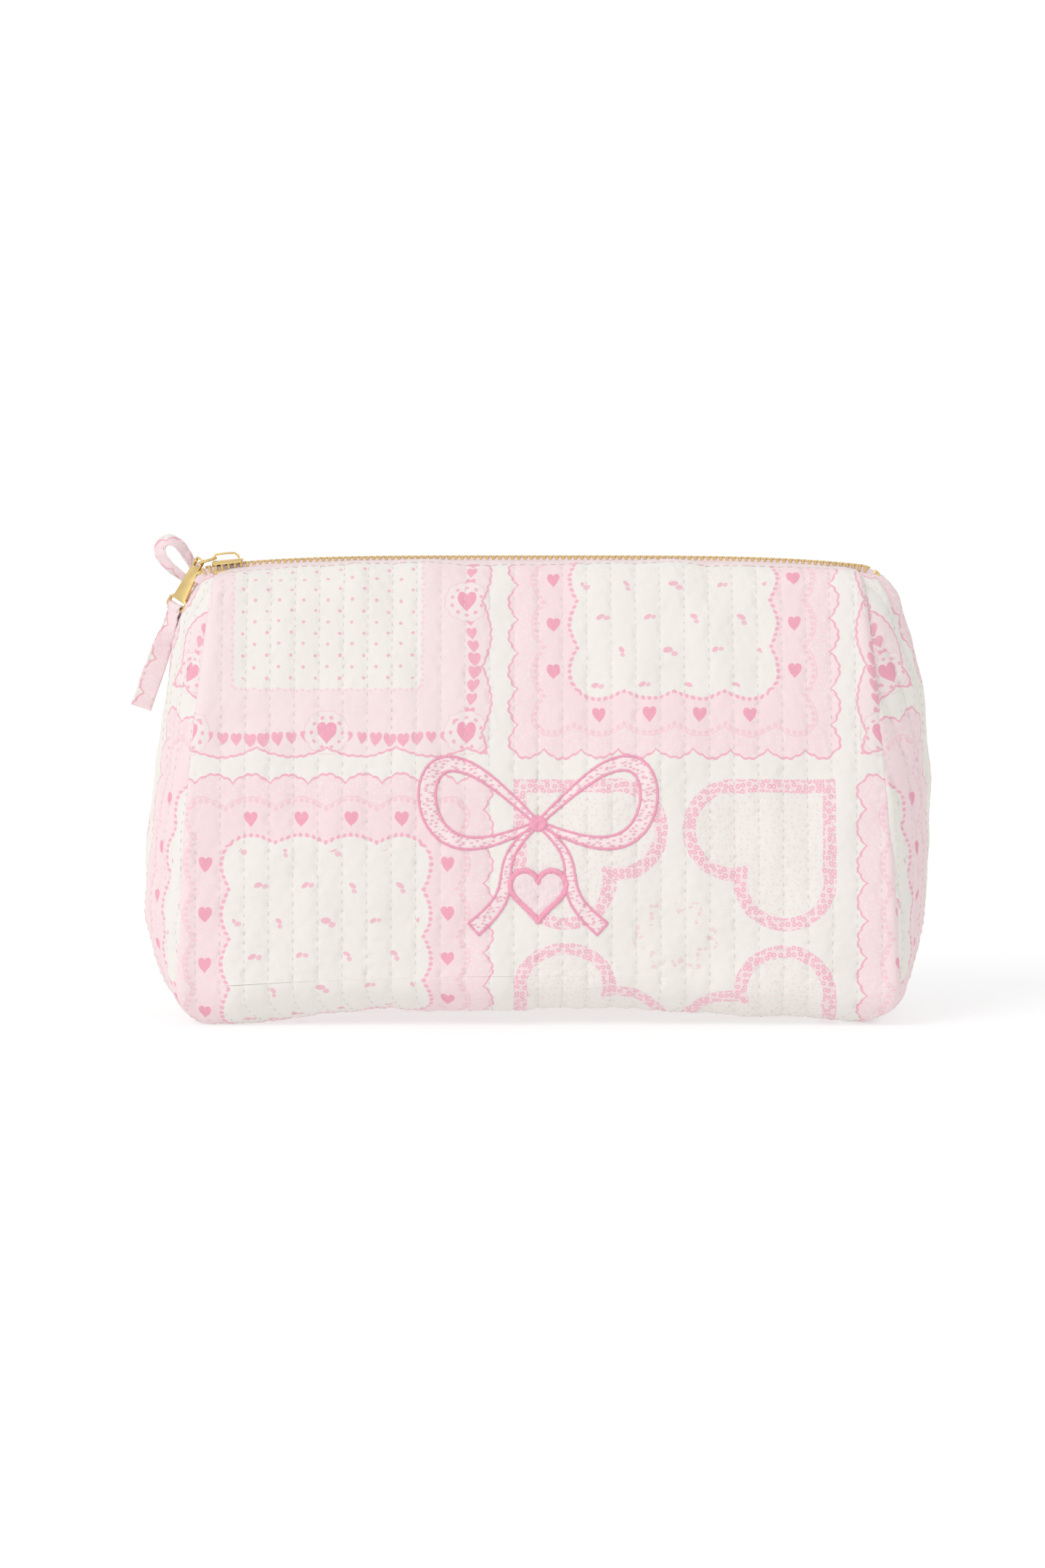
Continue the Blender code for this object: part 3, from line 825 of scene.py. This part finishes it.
def add_panels():
    columns = finer(HALF_WIDTH, 11)
    v = np.concatenate([np.linspace(0, HEM_START, 112), np.linspace(HEM_START, 1, 26)[1:]])
    for side, name in ((-1, "front"), (1, "back")):
        for hand, half in ((-1, "left"), (1, "right")):
            base, out = half_panel(side, hand, columns, v)
            up = arc_up(base)
            x = base[..., 0]
            cloth_up = up if side < 0 else -under_base() - up
            hem = ease((1 - v) / 0.05)[:, None]
            from_seam = half_width(base[..., 2]) - np.abs(x)
            relief = quilt_relief(x, cloth_up) * (0.35 + 0.65 * hem)
            relief = pulled_in(relief, from_seam, SEAM_REACH, SEAM_DEPTH)
            topstitch = np.exp(-((up.max(axis=0) - up - 3.2) / 0.5) ** 2)
            relief = relief - 0.45 * topstitch
            outer = settle(base + out * relief[..., None])
            wall = 1.3 + (WALL - 1.3) * ease((1 - v) / 0.10)[:, None]
            inner = settle(base - out * wall[..., None])
            cloth = np.stack([x, cloth_up], -1)
            flip = (hand * side) > 0
            piece = shell(f"{name}_quilt_{half}", outer, inner, cloth, [PRINT, INSIDE, FACING_CLOTH], flip)
            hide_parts(f"{name}_cover", f"{name}_wadding")
            ride_panel(piece)
            mark_rows(piece, outer, (up.max(axis=0) - up).mean(axis=1) < FACING, 2)
            quilting = crossing_lines(outer, out, hand)
            sewn = hem_line(outer, out, up, FACING + 0.35)
            ride_panel(stitches(f"{name}_stitching_{half}", quilting, THREAD))
            hem_thread = stitches(f"{name}_hem_stitching_{half}", [sewn], PINK_THREAD, 2.3, 0.9, 0.2)
            ride_panel(hem_thread)

            rough = finer(HALF_WIDTH, 6)
            rows = np.linspace(0, 0.985, 48)
            base, out = half_panel(side, hand, rough, rows)
            near = 3.6 - 1.6 * ease((rows - 0.9) / 0.085)[:, None]
            near = near - 0.12 + 0.12 * RIPPLE(base[..., 0], base[..., 2])
            near = near + 0.55 * (1 - stitch_nearness(base[..., 0]) ** 2)
            outer = settle(base - out * near[..., None])
            inner = settle(base - out * (near[..., None] + 0.55))
            cloth = np.stack([base[..., 0], base[..., 2]], -1)
            piece = shell(f"{name}_lining_{half}", outer, inner, cloth, [LINING], flip)
            sheet_of(outer)
            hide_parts(f"{name}_lining")
            ride_panel(piece)


def edge_profile():
    """Height and depth of the panels' ends, which the gussets are sewn to, from the base up to the zip."""
    low = np.linspace(1.0, BASE_TOP, 9)[:-1]
    flat = HALF_DEPTH_BASE - BASE_TOP
    low_half = flat + np.sqrt(BASE_TOP ** 2 - (BASE_TOP - low) ** 2)
    v = np.linspace(0, 1, 110)
    edge = panel_base(np.array([HALF_WIDTH]), v)[:, 0]
    return np.concatenate([low, edge[:, 2]]), np.concatenate([low_half, -edge[:, 1]])


def gusset_bulge(z, hand):
    """How far an end swells out between its seams, rounded off from a few measured heights."""
    heights, swell = zip(*(LEFT_BULGE if hand < 0 else RIGHT_BULGE))
    fine = np.arange(-8, 170, 0.5)
    curve = np.interp(fine, heights, swell)
    curve = np.convolve(curve, np.hanning(21) / np.hanning(21).sum(), "same")
    return np.interp(z, fine, curve)


def add_gussets():
    z, half = edge_profile()
    s = np.linspace(-1, 1, 101)
    ss, zz = np.meshgrid(s, z)
    depth = np.repeat((half - 1.1)[:, None], len(s), axis=1)
    for hand, name in ((-1, "left"), (1, "right")):
        out = half_width(zz) - 0.9 + gusset_bulge(zz, hand) * (1 - ss ** 2)
        base = np.stack([hand * out, ss * depth, zz], -1)
        normal = normals_of(base) * hand
        across = ss * depth * 1.1
        up = arc_up(base)
        crease_at = -0.42 if hand > 0 else 0.35
        crease = np.exp(-((ss - crease_at) / 0.13) ** 2) * ease((zz - 118) / 22) * ease((156 - zz) / 8)
        relief = quilt_relief(across + 3.0, up + 40 * hand, 1.1) - 2.4 * crease
        relief = pulled_in(relief, (1 - np.abs(ss)) * depth, 3.5, 1.6)
        outer = settle(base + normal * relief[..., None])
        inner = settle(base - normal * WALL)
        cloth = np.stack([across - 2.0, up - 36.0], -1)
        piece = shell(f"{name}_gusset_quilt", outer, inner, cloth, [PRINT, INSIDE], hand < 0)
        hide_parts(f"{name}_gusset_cover", f"{name}_gusset_wadding")
        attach(piece, "bag")
        quilting = [(outer[:, k], normal[:, k]) for k in valleys(across[60] + 3.0)]
        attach(stitches(f"{name}_gusset_stitching", quilting, THREAD), "bag")
        coarse = (slice(0, None, 3), slice(0, None, 4))
        near = settle(base - normal * 3.6)[coarse]
        far = settle(base - normal * 4.2)[coarse]
        piece = shell(f"{name}_gusset_inner", near, far, cloth[coarse], [LINING], hand < 0)
        sheet_of(near)
        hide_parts(f"{name}_gusset_lining")
        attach(piece, "bag")


def add_base():
    columns = np.concatenate([-finer(HALF_WIDTH, 11)[:0:-1], finer(HALF_WIDTH, 11)])
    flat = HALF_DEPTH_BASE - BASE_TOP
    turns = np.linspace(0, math.pi / 2, 16)
    front = [(-flat - BASE_TOP * math.cos(a), PANEL_FOOT - PANEL_FOOT * math.sin(a)) for a in turns]
    level = [(y, 0.0) for y in np.linspace(-flat, flat, 34)[1:-1]]
    back = [(-y, z) for y, z in front[::-1]]
    profile = np.array(front + level + back)
    x = columns[None, :] * (half_width(profile[:, 1]) / HALF_WIDTH)[:, None]
    base = np.stack([x, np.repeat(profile[:, :1], len(columns), 1),
                     np.repeat(profile[:, 1:], len(columns), 1)], -1)
    down = -np.repeat(length_along(profile)[:, None], len(columns), 1)
    out = -normals_of(base)
    from_seam = half_width(base[..., 2]) - np.abs(base[..., 0])
    relief = pulled_in(quilt_relief(base[..., 0], down), from_seam, SEAM_REACH, SEAM_DEPTH)
    outer = settle(base + out * relief[..., None])
    inner = settle(base - out * WALL)
    outer[..., 2] = np.maximum(outer[..., 2], 0.02)
    cloth = np.stack([base[..., 0], down], -1)
    piece = shell("base_quilt", outer, inner, cloth, [PRINT, INSIDE], True)
    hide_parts("bottom_cover", "bottom_wadding")
    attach(piece, "bag")
    quilting = [(outer[:, k], out[:, k]) for k in valleys(columns)]
    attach(stitches("base_stitching", quilting, THREAD), "bag")
    coarse = (slice(None), slice(0, None, 6))
    near = settle(base - out * 3.6)[coarse]
    piece = shell("base_inner", near, settle(base - out * 4.2)[coarse], cloth[coarse], [LINING], True)
    sheet_of(near)
    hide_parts("bottom_lining")
    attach(piece, "bag")


# ---------------------------------------------------------------- the zip

def add_tapes():
    for side, name in ((-1, "front"), (1, "back")):
        for hand, half in ((-1, "left"), (1, "right")):
            s = hand * np.concatenate([np.linspace(0, 104, 40), np.linspace(104, 121.5, 24)[1:]])
            section = [(2.05, 0.55), (2.35, 0.30), (2.6, -0.05), (3.3, -1.3), (5.5, -2.4), (9.5, -4.6)]
            near, far, cloth = [], [], []
            for y, n in section:
                narrow = ease((np.abs(s) - 96) / 14)
                lean = n - narrow * (0.25 * n + 0.7 * np.clip((y - 2.0) / 1.5, 0, 1))
                yy = side * (2.05 + (y - 2.05) * (1 - 0.66 * narrow) + parting(s) * np.clip((9.5 - y) / 7, 0, 1))
                near.append(zip_point(s, yy, lean))
                far.append(zip_point(s, yy, lean - (0.9 if y < 2.2 else 0.5)))
                cloth.append(np.stack([s, np.full_like(s, y)], -1))
            near, far = np.array(near), np.array(far)
            flip = hand * side < 0
            piece = shell(f"zip_tape_{name}_{half}", near, far, np.array(cloth), [TAPE], flip)
            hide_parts(f"zip_tape_{name}")
            ride_panel(piece)


def tooth_shape():
    """One tooth: a clamp round the tape's cord that narrows to a cupped head past the middle."""
    outline = [(-1.0, 0.30), (-0.85, 0.42), (0.1, 0.46), (0.5, 0.40), (1.2, 0.40), (1.7, 0.52),
               (2.5, 0.52), (2.75, 0.40)]
    levels = [(-1.15, 0.78), (-1.0, 1.0), (0.0, 1.04), (1.0, 1.0), (1.15, 0.78)]
    ring = [(y, x) for y, x in outline] + [(y, -x) for y, x in outline[::-1]]
    points, faces = [], []
    for n, grow in levels:
        for y, x in ring:
            points.append((x * grow, 0.85 + (y - 0.85) * (0.94 + 0.06 * grow), n))
    count = len(ring)
    for k in range(len(levels) - 1):
        for i in range(count):
            j = (i + 1) % count
            faces.append([k * count + i, k * count + j, (k + 1) * count + j, (k + 1) * count + i])
    half = len(outline)
    for level, flip in ((0, True), (len(levels) - 1, False)):
        for i in range(half - 1):
            quad = [i, i + 1, count - 2 - i, count - 1 - i]
            quad = [level * count + q for q in quad]
            faces.append(quad[::-1] if flip else quad)
    return np.array(points), faces


def add_teeth():
    shape, shape_faces = tooth_shape()
    for side, name in ((-1, "front"), (1, "back")):
        first = FIRST_TOOTH + (PITCH / 2 if side > 0 else 0) + 0.4
        at = first + PITCH * np.arange(TEETH)
        for hand, half in ((-1, "left"), (1, "right")):
            points, faces = [], []
            for s in at[(at < 0) if hand < 0 else (at >= 0)]:
                start = len(points) * len(shape)
                y = side * (shape[:, 1] + parting(s))
                points.append(zip_point(s + shape[:, 0], y, shape[:, 2]))
                for f in shape_faces:
                    f = [start + i for i in f]
                    faces.append(f if side > 0 else f[::-1])
            piece = add_mesh(f"zip_teeth_{name}_{half}", np.concatenate(points), faces, TEETH_BRASS)
            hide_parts(f"zip_teeth_{name}")
            ride_panel(piece)


# ---------------------------------------------------------------- metal and ribbons

def softened(node, body, material, radius):
    """The CAD's own metal piece with its sharp edges rounded over."""
    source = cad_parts[node]
    work = bmesh.new()
    work.from_mesh(source.data)
    work.transform(source.matrix_world)
    bmesh.ops.remove_doubles(work, verts=work.verts, dist=1e-6)
    bmesh.ops.dissolve_limit(work, angle_limit=math.radians(2), verts=work.verts, edges=work.edges)
    sharp = [e for e in work.edges if len(e.link_faces) == 2 and e.calc_face_angle(0) > math.radians(34)]
    bmesh.ops.bevel(work, geom=sharp, offset=radius * MM, segments=2, profile=0.5, affect="EDGES",
                    clamp_overlap=True)
    mesh = bpy.data.meshes.new(node + "_rounded")
    work.to_mesh(mesh)
    work.free()
    mesh.shade_smooth()
    mesh.set_sharp_from_angle(angle=math.radians(38))
    mesh.materials.append(material)
    piece = bpy.data.objects.new(node + "_rounded", mesh)
    bpy.context.scene.collection.objects.link(piece)
    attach(piece, body)
    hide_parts(node)


def ribbon(name, centres, across, half, thick, body, node, cloth_from):
    """A strap with turned edges, swept along its middle line. across points over its width at each place."""
    centres, across = np.array(centres), np.array(across)
    half = np.broadcast_to(half, len(centres))
    across = unit(across)
    face = unit(np.cross(headings(centres), across))
    along = length_along(centres)
    section = [(-1, 0), (-0.97, 0.62), (-0.90, 0.85), (-0.72, 0.70), (-0.5, 0.55), (0, 0.5),
               (0.5, 0.55), (0.72, 0.70), (0.90, 0.85), (0.97, 0.62), (1, 0)]
    section = section + [(w, -t) for w, t in section[-2:0:-1]]
    points, cloth = [], []
    for w, t in section:
        fold = 0.22 * RIPPLE(along * 1.6 + w * 2.5, w * half * 2) + 0.10 * PUCKER(along, w * half)
        points.append(centres + across * (w * half)[:, None] + face * (t * thick + fold)[:, None])
        cloth.append(np.stack([cloth_from[0] + w * half.max() + 0 * along, cloth_from[1] + along], -1))
    count, ring = len(centres), len(section)
    points, cloth = np.concatenate(points), np.concatenate(cloth)
    faces = []
    for i in range(ring):
        j = (i + 1) % ring
        faces += [(i * count + k, j * count + k, j * count + k + 1, i * count + k + 1) for k in range(count - 1)]
    faces.append(tuple(i * count for i in range(ring))[::-1])
    faces.append(tuple(i * count + count - 1 for i in range(ring)))
    piece = add_mesh(name, points, faces, PRINT)
    set_uv(piece, cloth * MM)
    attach(piece, body)
    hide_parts(node)
    edges = [(centres + across * (side * (half - 0.75))[:, None] + face * (up * thick * 0.72), face * up)
             for side in (-1, 1) for up in (-1, 1)]
    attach(stitches(name + "_stitching", edges, PINK_THREAD, 1.6, 0.9, 0.12), body)


def add_ribbon_tab():
    bar = np.array([-126.5561, 0.0, 141.6654])
    slope = math.radians(71)
    down = np.array([-math.cos(slope), 0, -math.sin(slope)])
    start = np.array([-0.6243, 0.7071, 0.3320])
    flat = np.array([-math.sin(slope), 0, math.cos(slope)])
    length = 37.0
    centres, across, half = [], [], []
    for side in (-1, 1):
        reach = np.concatenate([np.linspace(length, 4, 46), np.linspace(4, 0.6, 8)[1:]])
        if side > 0:
            reach = reach[::-1]
        for r in reach:
            turn = ease(np.array((r - 1.5) / 11))
            wide = unit(start * (1 - turn) + flat * turn)
            face = np.cross(down, wide)
            sway = 1.1 * math.sin(r / length * 4.2) - 1.2 * (r / length) ** 2
            apart = 0.50 + 0.62 * math.exp(-r / 2.2) + 0.25 * math.sin(r * 0.5) * (r / length)
            centres.append(bar + down * r + face * (side * apart + sway))
            across.append(wide)
            half.append(3.65 - 0.75 * math.exp(-((r - 9) / 6) ** 2))
        if side < 0:
            face = np.cross(down, start)
            for t in np.linspace(-0.9, 0.9, 7):
                turn = t * math.pi / 2
                centres.append(bar + 1.15 * (face * math.sin(turn) - down * math.cos(turn)))
                across.append(start)
                half.append(3.4)
    ribbon("ribbon_pull", centres, across, half, 0.42, "ribbon", "ribbon_tab", (-19.4, -34.0))


def add_hang_loop():
    route = [(-116.4, 147.2), (-119.6, 148.8), (-124.4, 151.6), (-129.0, 155.0), (-132.2, 159.0),
             (-132.4, 162.6), (-129.8, 164.6), (-126.2, 163.2), (-123.2, 159.4), (-120.2, 154.2), (-116.2, 149.6)]
    path = smooth_line(route, 0.6)
    t = np.linspace(0, 1, len(path))
    twist = np.radians(58) * np.sin(math.pi * t) ** 0.45
    side = left_of(headings(path))
    across = np.stack([side[:, 0] * np.sin(twist), np.cos(twist), side[:, 1] * np.sin(twist)], -1)
    centres = np.stack([path[:, 0], np.full(len(path), 12.8), path[:, 1]], -1)
    ribbon("hanging_ribbon", centres, across, 2.3, 0.36, "loop", "hang_loop", (-18.2, -30.0))


def smooth_line(points, step):
    """An even line of points on a smooth curve through the given ones."""
    p = np.array(points, float)
    p = np.concatenate([2 * p[:1] - p[1:2], p, 2 * p[-1:] - p[-2:-1]])
    t = np.linspace(0, 1, 24, endpoint=False)[:, None]
    out = []
    for a, b, c, d in zip(p[:-3], p[1:-2], p[2:-1], p[3:]):
        out.append(0.5 * (2 * b + (c - a) * t + (2 * a - 5 * b + 4 * c - d) * t ** 2
                          + (3 * b - a - 3 * c + d) * t ** 3))
    out = np.concatenate([*out, p[-2][None]])
    along = length_along(out)
    count = max(int(along[-1] / step), 4)
    at = np.linspace(0, along[-1], count + 1)
    return np.stack([np.interp(at, along, out[:, k]) for k in range(out.shape[1])], -1)


# ---------------------------------------------------------------- embroidery on the front

class FrontFace:
    """Puts points on the front's quilted cloth, by distance from the middle and height."""

    def __init__(self):
        self.reach, self.across, self.rows = 62.0, 497, 380
        x = np.linspace(-self.reach, self.reach, self.across)
        base = panel_base(x, np.linspace(0, HEM_START, self.rows))
        self.normal = normals_of(base)
        relief = quilt_relief(base[..., 0], arc_up(base))
        self.surface = settle(base + self.normal * relief[..., None])

    def place(self, spots, height):
        x, z = spots[..., 0], spots[..., 1]
        low = z
        for _ in range(6):
            low = z - edge_lift(x, low)
        drop = ZIP_MIDDLE - zip_height(np.abs(x) / HALF_WIDTH * half_width(PANEL_TOP))
        row = (low - PANEL_FOOT) / (hem_from(drop) - PANEL_FOOT) * (self.rows - 1)
        column = (x + self.reach) / (2 * self.reach) * (self.across - 1)
        j = np.clip(row.astype(int), 0, self.rows - 2)
        i = np.clip(column.astype(int), 0, self.across - 2)
        v, u = (row - j)[..., None], (column - i)[..., None]

        def mixed(grid):
            return ((1 - v) * ((1 - u) * grid[j, i] + u * grid[j, i + 1])
                    + v * ((1 - u) * grid[j + 1, i] + u * grid[j + 1, i + 1]))

        return mixed(self.surface) + mixed(self.normal) * np.asarray(height)[..., None]


CORDED, OPEN, PALE, DEEP = range(4)   # the kinds of thread work
THREAD_WORK = (SATIN, DASHED, PALE_SATIN, DEEP_SATIN)


class Needlework:
    """Collects raised thread work as faces, to be made into one mesh for each half of the front."""

    def __init__(self):
        self.face = FrontFace()
        self.points, self.cloth, self.quads, self.kinds = [], [], [], []
        self.count = 0

    def grid(self, spots, height, cloth, kind):
        rows, columns = spots.shape[:2]
        self.points.append(self.face.place(spots, height).reshape(-1, 3))
        self.cloth.append(cloth.reshape(-1, 2))
        quads = grid_faces(rows, columns, self.count)
        one, two = spots[1, 0] - spots[0, 0], spots[0, 1] - spots[0, 0]
        if one[0] * two[1] - one[1] * two[0] > 0:
            quads = quads[:, ::-1]
        self.quads.append(quads)
        self.kinds.append(np.full(len(quads), kind))
        self.count += rows * columns

    def satin(self, path, width, tall, kind=CORDED, closed=False):
        """A raised line of close stitches along a path."""
        ahead = np.gradient(path, axis=0)
        if closed:
            ahead[0] = ahead[-1] = path[1] - path[-2]
        side = left_of(unit(ahead))
        along = length_along(path)
        half = np.full(len(path), width / 2) * (1 + 0.10 * np.sin(along * 2.3) + 0.07 * np.sin(along * 5.1))
        t = np.array([-1.0, -0.86, -0.55, -0.2, 0.2, 0.55, 0.86, 1.0])
        spots = path[:, None] + side[:, None] * (t[None, :, None] * half[:, None, None])
        height = tall * np.sqrt(1.02 - t ** 2)[None] * np.minimum(1, half / half.max() + 0.2)[:, None] - 0.05
        height = height + 0.05 * np.sin(along * 2 * math.pi / 0.8)[:, None]
        cloth = np.stack(np.broadcast_arrays(along[:, None], t[None] * half[:, None]), -1)
        self.grid(spots, height, cloth, kind)

    def filled(self, one, two, tall=0.28):
        """Open stitching between two edges."""
        at = np.linspace(0, len(one) - 1, 90)
        edges = [np.stack([np.interp(at, np.arange(len(edge)), edge[:, k]) for k in (0, 1)], -1)
                 for edge in (one, two)]
        t = np.linspace(0, 1, 9)
        spots = edges[0][:, None] * (1 - t[None, :, None]) + edges[1][:, None] * t[None, :, None]
        height = np.broadcast_to(tall * (1 - (2 * t - 1) ** 6)[None] - 0.04, spots.shape[:2])
        self.grid(spots, height, spots, OPEN)

    def edges_of(self, points):
        """Both edges of a ribbon, from places along its middle and half its width at each."""
        path = smooth_line(points, 0.4)
        middle, half = path[:, :2], np.maximum(path[:, 2:], 0.3)
        side = left_of(headings(middle)) * half
        return middle + side, middle - side

    def ribbon(self, points):
        """A ribbon: open stitching between two corded edges."""
        one, two = self.edges_of(points)
        self.filled(one, two)
        self.satin(one, 0.95, 0.55)
        self.satin(two, 0.95, 0.48)

    def cut_end(self, points):
        """The stitched edge where a ribbon is cut off."""
        one, two = self.edges_of(points)
        self.satin(smooth_line([one[-1], (one[-1] + two[-1]) / 2, two[-1]], 0.4), 0.95, 0.6)

    def disc(self, rim, middle, kind, tall):
        """Flat stitching from a middle point out to a closed rim."""
        r = np.linspace(0.02, 1, 22)[:, None, None]
        spots = np.array(middle) * (1 - r) + np.asarray(rim)[None] * r
        height = np.broadcast_to(tall * (1 - r[..., 0] ** 10), spots.shape[:2])
        self.grid(spots, height, spots, kind)

    def make(self):
        points, cloth = np.concatenate(self.points), np.concatenate(self.cloth)
        quads, kinds = np.concatenate(self.quads), np.concatenate(self.kinds)
        middle = points[quads].mean(axis=1)[:, 0]
        for hand, half in ((-1, "left"), (1, "right")):
            mine = quads[(middle * hand) > 0]
            used, where = np.unique(mine, return_inverse=True)
            piece = add_mesh(f"embroidery_{half}", points[used], where.reshape(-1, 4))
            for material in THREAD_WORK:
                piece.data.materials.append(material)
            piece.data.polygons.foreach_set("material_index", kinds[(middle * hand) > 0].astype(np.int32))
            set_uv(piece, cloth[used] * MM)
            ride_panel(piece)


def heart_curve(x, z, wide, tall):
    """The common heart curve, point down."""
    t = np.linspace(0, 2 * math.pi, 150)
    across = np.sin(t) ** 3 * wide / 2
    up = (13 * np.cos(t) - 5 * np.cos(2 * t) - 2 * np.cos(3 * t) - np.cos(4 * t) + 2.5) / 14.6 * tall / 2
    return np.stack([x + across, z + up], -1)


BOW_MIDDLE = (0.0, 70.0)      # the knot's place on the front: across, and up from the floor


def bow_loop(hand):
    """One loop of a plain bow: places along the ribbon's middle, with half its width there."""
    t = np.linspace(0, 1, 15)
    out = 38.0 * np.sin(math.pi * t)
    up = 13.0 * np.sin(2 * math.pi * t) + 0.25 * out
    return np.stack([BOW_MIDDLE[0] + hand * out, BOW_MIDDLE[1] + up, 0.7 + 2.2 * np.sin(math.pi * t)], -1)


def bow_tail(hand):
    """One tail of the bow, in a shallow wave that widens to its cut end."""
    t = np.linspace(0, 1, 9)
    out = 22.0 * t + 3.0 * np.sin(2 * math.pi * t)
    return np.stack([BOW_MIDDLE[0] + hand * out, BOW_MIDDLE[1] - 36.0 * t, 0.7 + 2.0 * t], -1)


def add_embroidery():
    """A plain mirrored bow with a heart under it, all from formulas: not the design in the photograph."""
    work = Needlework()
    for hand in (-1, 1):
        tail = bow_tail(hand)
        work.ribbon(tail)
        work.cut_end(tail)
        work.ribbon(bow_loop(hand))
    across, up = BOW_MIDDLE
    turn = np.linspace(0, 2 * math.pi, 60)
    knot = np.stack([across + 3.2 * np.cos(turn), up + 2.8 * np.sin(turn)], -1)
    work.disc(knot, BOW_MIDDLE, DEEP, 0.95)
    heart_up = up - 25.0
    rim = heart_curve(across, heart_up, 19.0, 18.0)
    work.disc(rim, (across, heart_up), PALE, 0.42)
    work.satin(rim, 2.0, 0.85, DEEP, closed=True)
    work.make()


# ---------------------------------------------------------------- camera, light and floor

def add_camera():
    camera = bpy.data.objects.new("camera", bpy.data.cameras.new("camera"))
    bpy.context.scene.collection.objects.link(camera)
    target = Vector((-0.0053, -0.045, 0.0836))
    distance = 1.8
    elevation = math.radians(5)
    view = Vector((0, math.cos(elevation), -math.sin(elevation)))
    camera.location = target - view * distance
    camera.rotation_euler = view.to_track_quat("-Z", "Y").to_euler()
    frame_height = 0.5357
    camera.data.sensor_width = 36
    camera.data.lens = 36 * distance / frame_height
    bpy.context.scene.camera = camera


def add_sun(name, towards, strength, spread):
    lamp = bpy.data.lights.new(name, "SUN")
    lamp.energy = strength
    lamp.angle = math.radians(spread)
    obj = bpy.data.objects.new(name, lamp)
    obj.rotation_euler = Vector(towards).to_track_quat("-Z", "Y").to_euler()
    bpy.context.scene.collection.objects.link(obj)


def add_studio():
    world = bpy.data.worlds.new("studio")
    bpy.context.scene.world = world
    world.use_nodes = True
    world.node_tree.nodes["Background"].inputs["Color"].default_value = (1.0, 1.0, 1.0, 1)
    world.node_tree.nodes["Background"].inputs["Strength"].default_value = 0.82
    add_sun("key", (0.75, 0.72, -0.85), 1.0, 35)
    bend = 1800.0
    turns = np.linspace(0, math.pi / 2, 24)
    profile = [(-6000.0, 0.0)] + [(2600 + bend * math.sin(t), bend - bend * math.cos(t)) for t in turns]
    rows = np.array([[(side * 7000.0, y, z) for side in (-1, 1)] for y, z in profile])
    floor = add_mesh("floor", rows.reshape(-1, 3), grid_faces(len(profile), 2))
    material, _, shader = new_material("pale_floor")
    shader.inputs["Base Color"].default_value = (0.44, 0.44, 0.44, 1)
    shader.inputs["Roughness"].default_value = 0.9
    shader.inputs["Emission Color"].default_value = (1.0, 1.0, 1.0, 1)
    shader.inputs["Emission Strength"].default_value = 0.54
    floor.data.materials.append(material)
    settings = bpy.context.scene.view_settings
    settings.view_transform = "Standard"


add_camera()
add_studio()
add_panels()
add_gussets()
add_base()
add_tapes()
add_teeth()
add_embroidery()
add_ribbon_tab()
add_hang_loop()
for node, body, radius in (("slider_body", "slider", 0.28), ("slider_bridge", "slider", 0.22),
                           ("pull_tab", "pull", 0.16), ("bottom_stop", "bag", 0.3),
                           ("top_stop_front", "bag", 0.2), ("top_stop_back", "bag", 0.2)):
    softened(node, body, BRASS, radius)
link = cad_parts["link_ring"].data
link.materials.clear()
link.materials.append(BRASS)
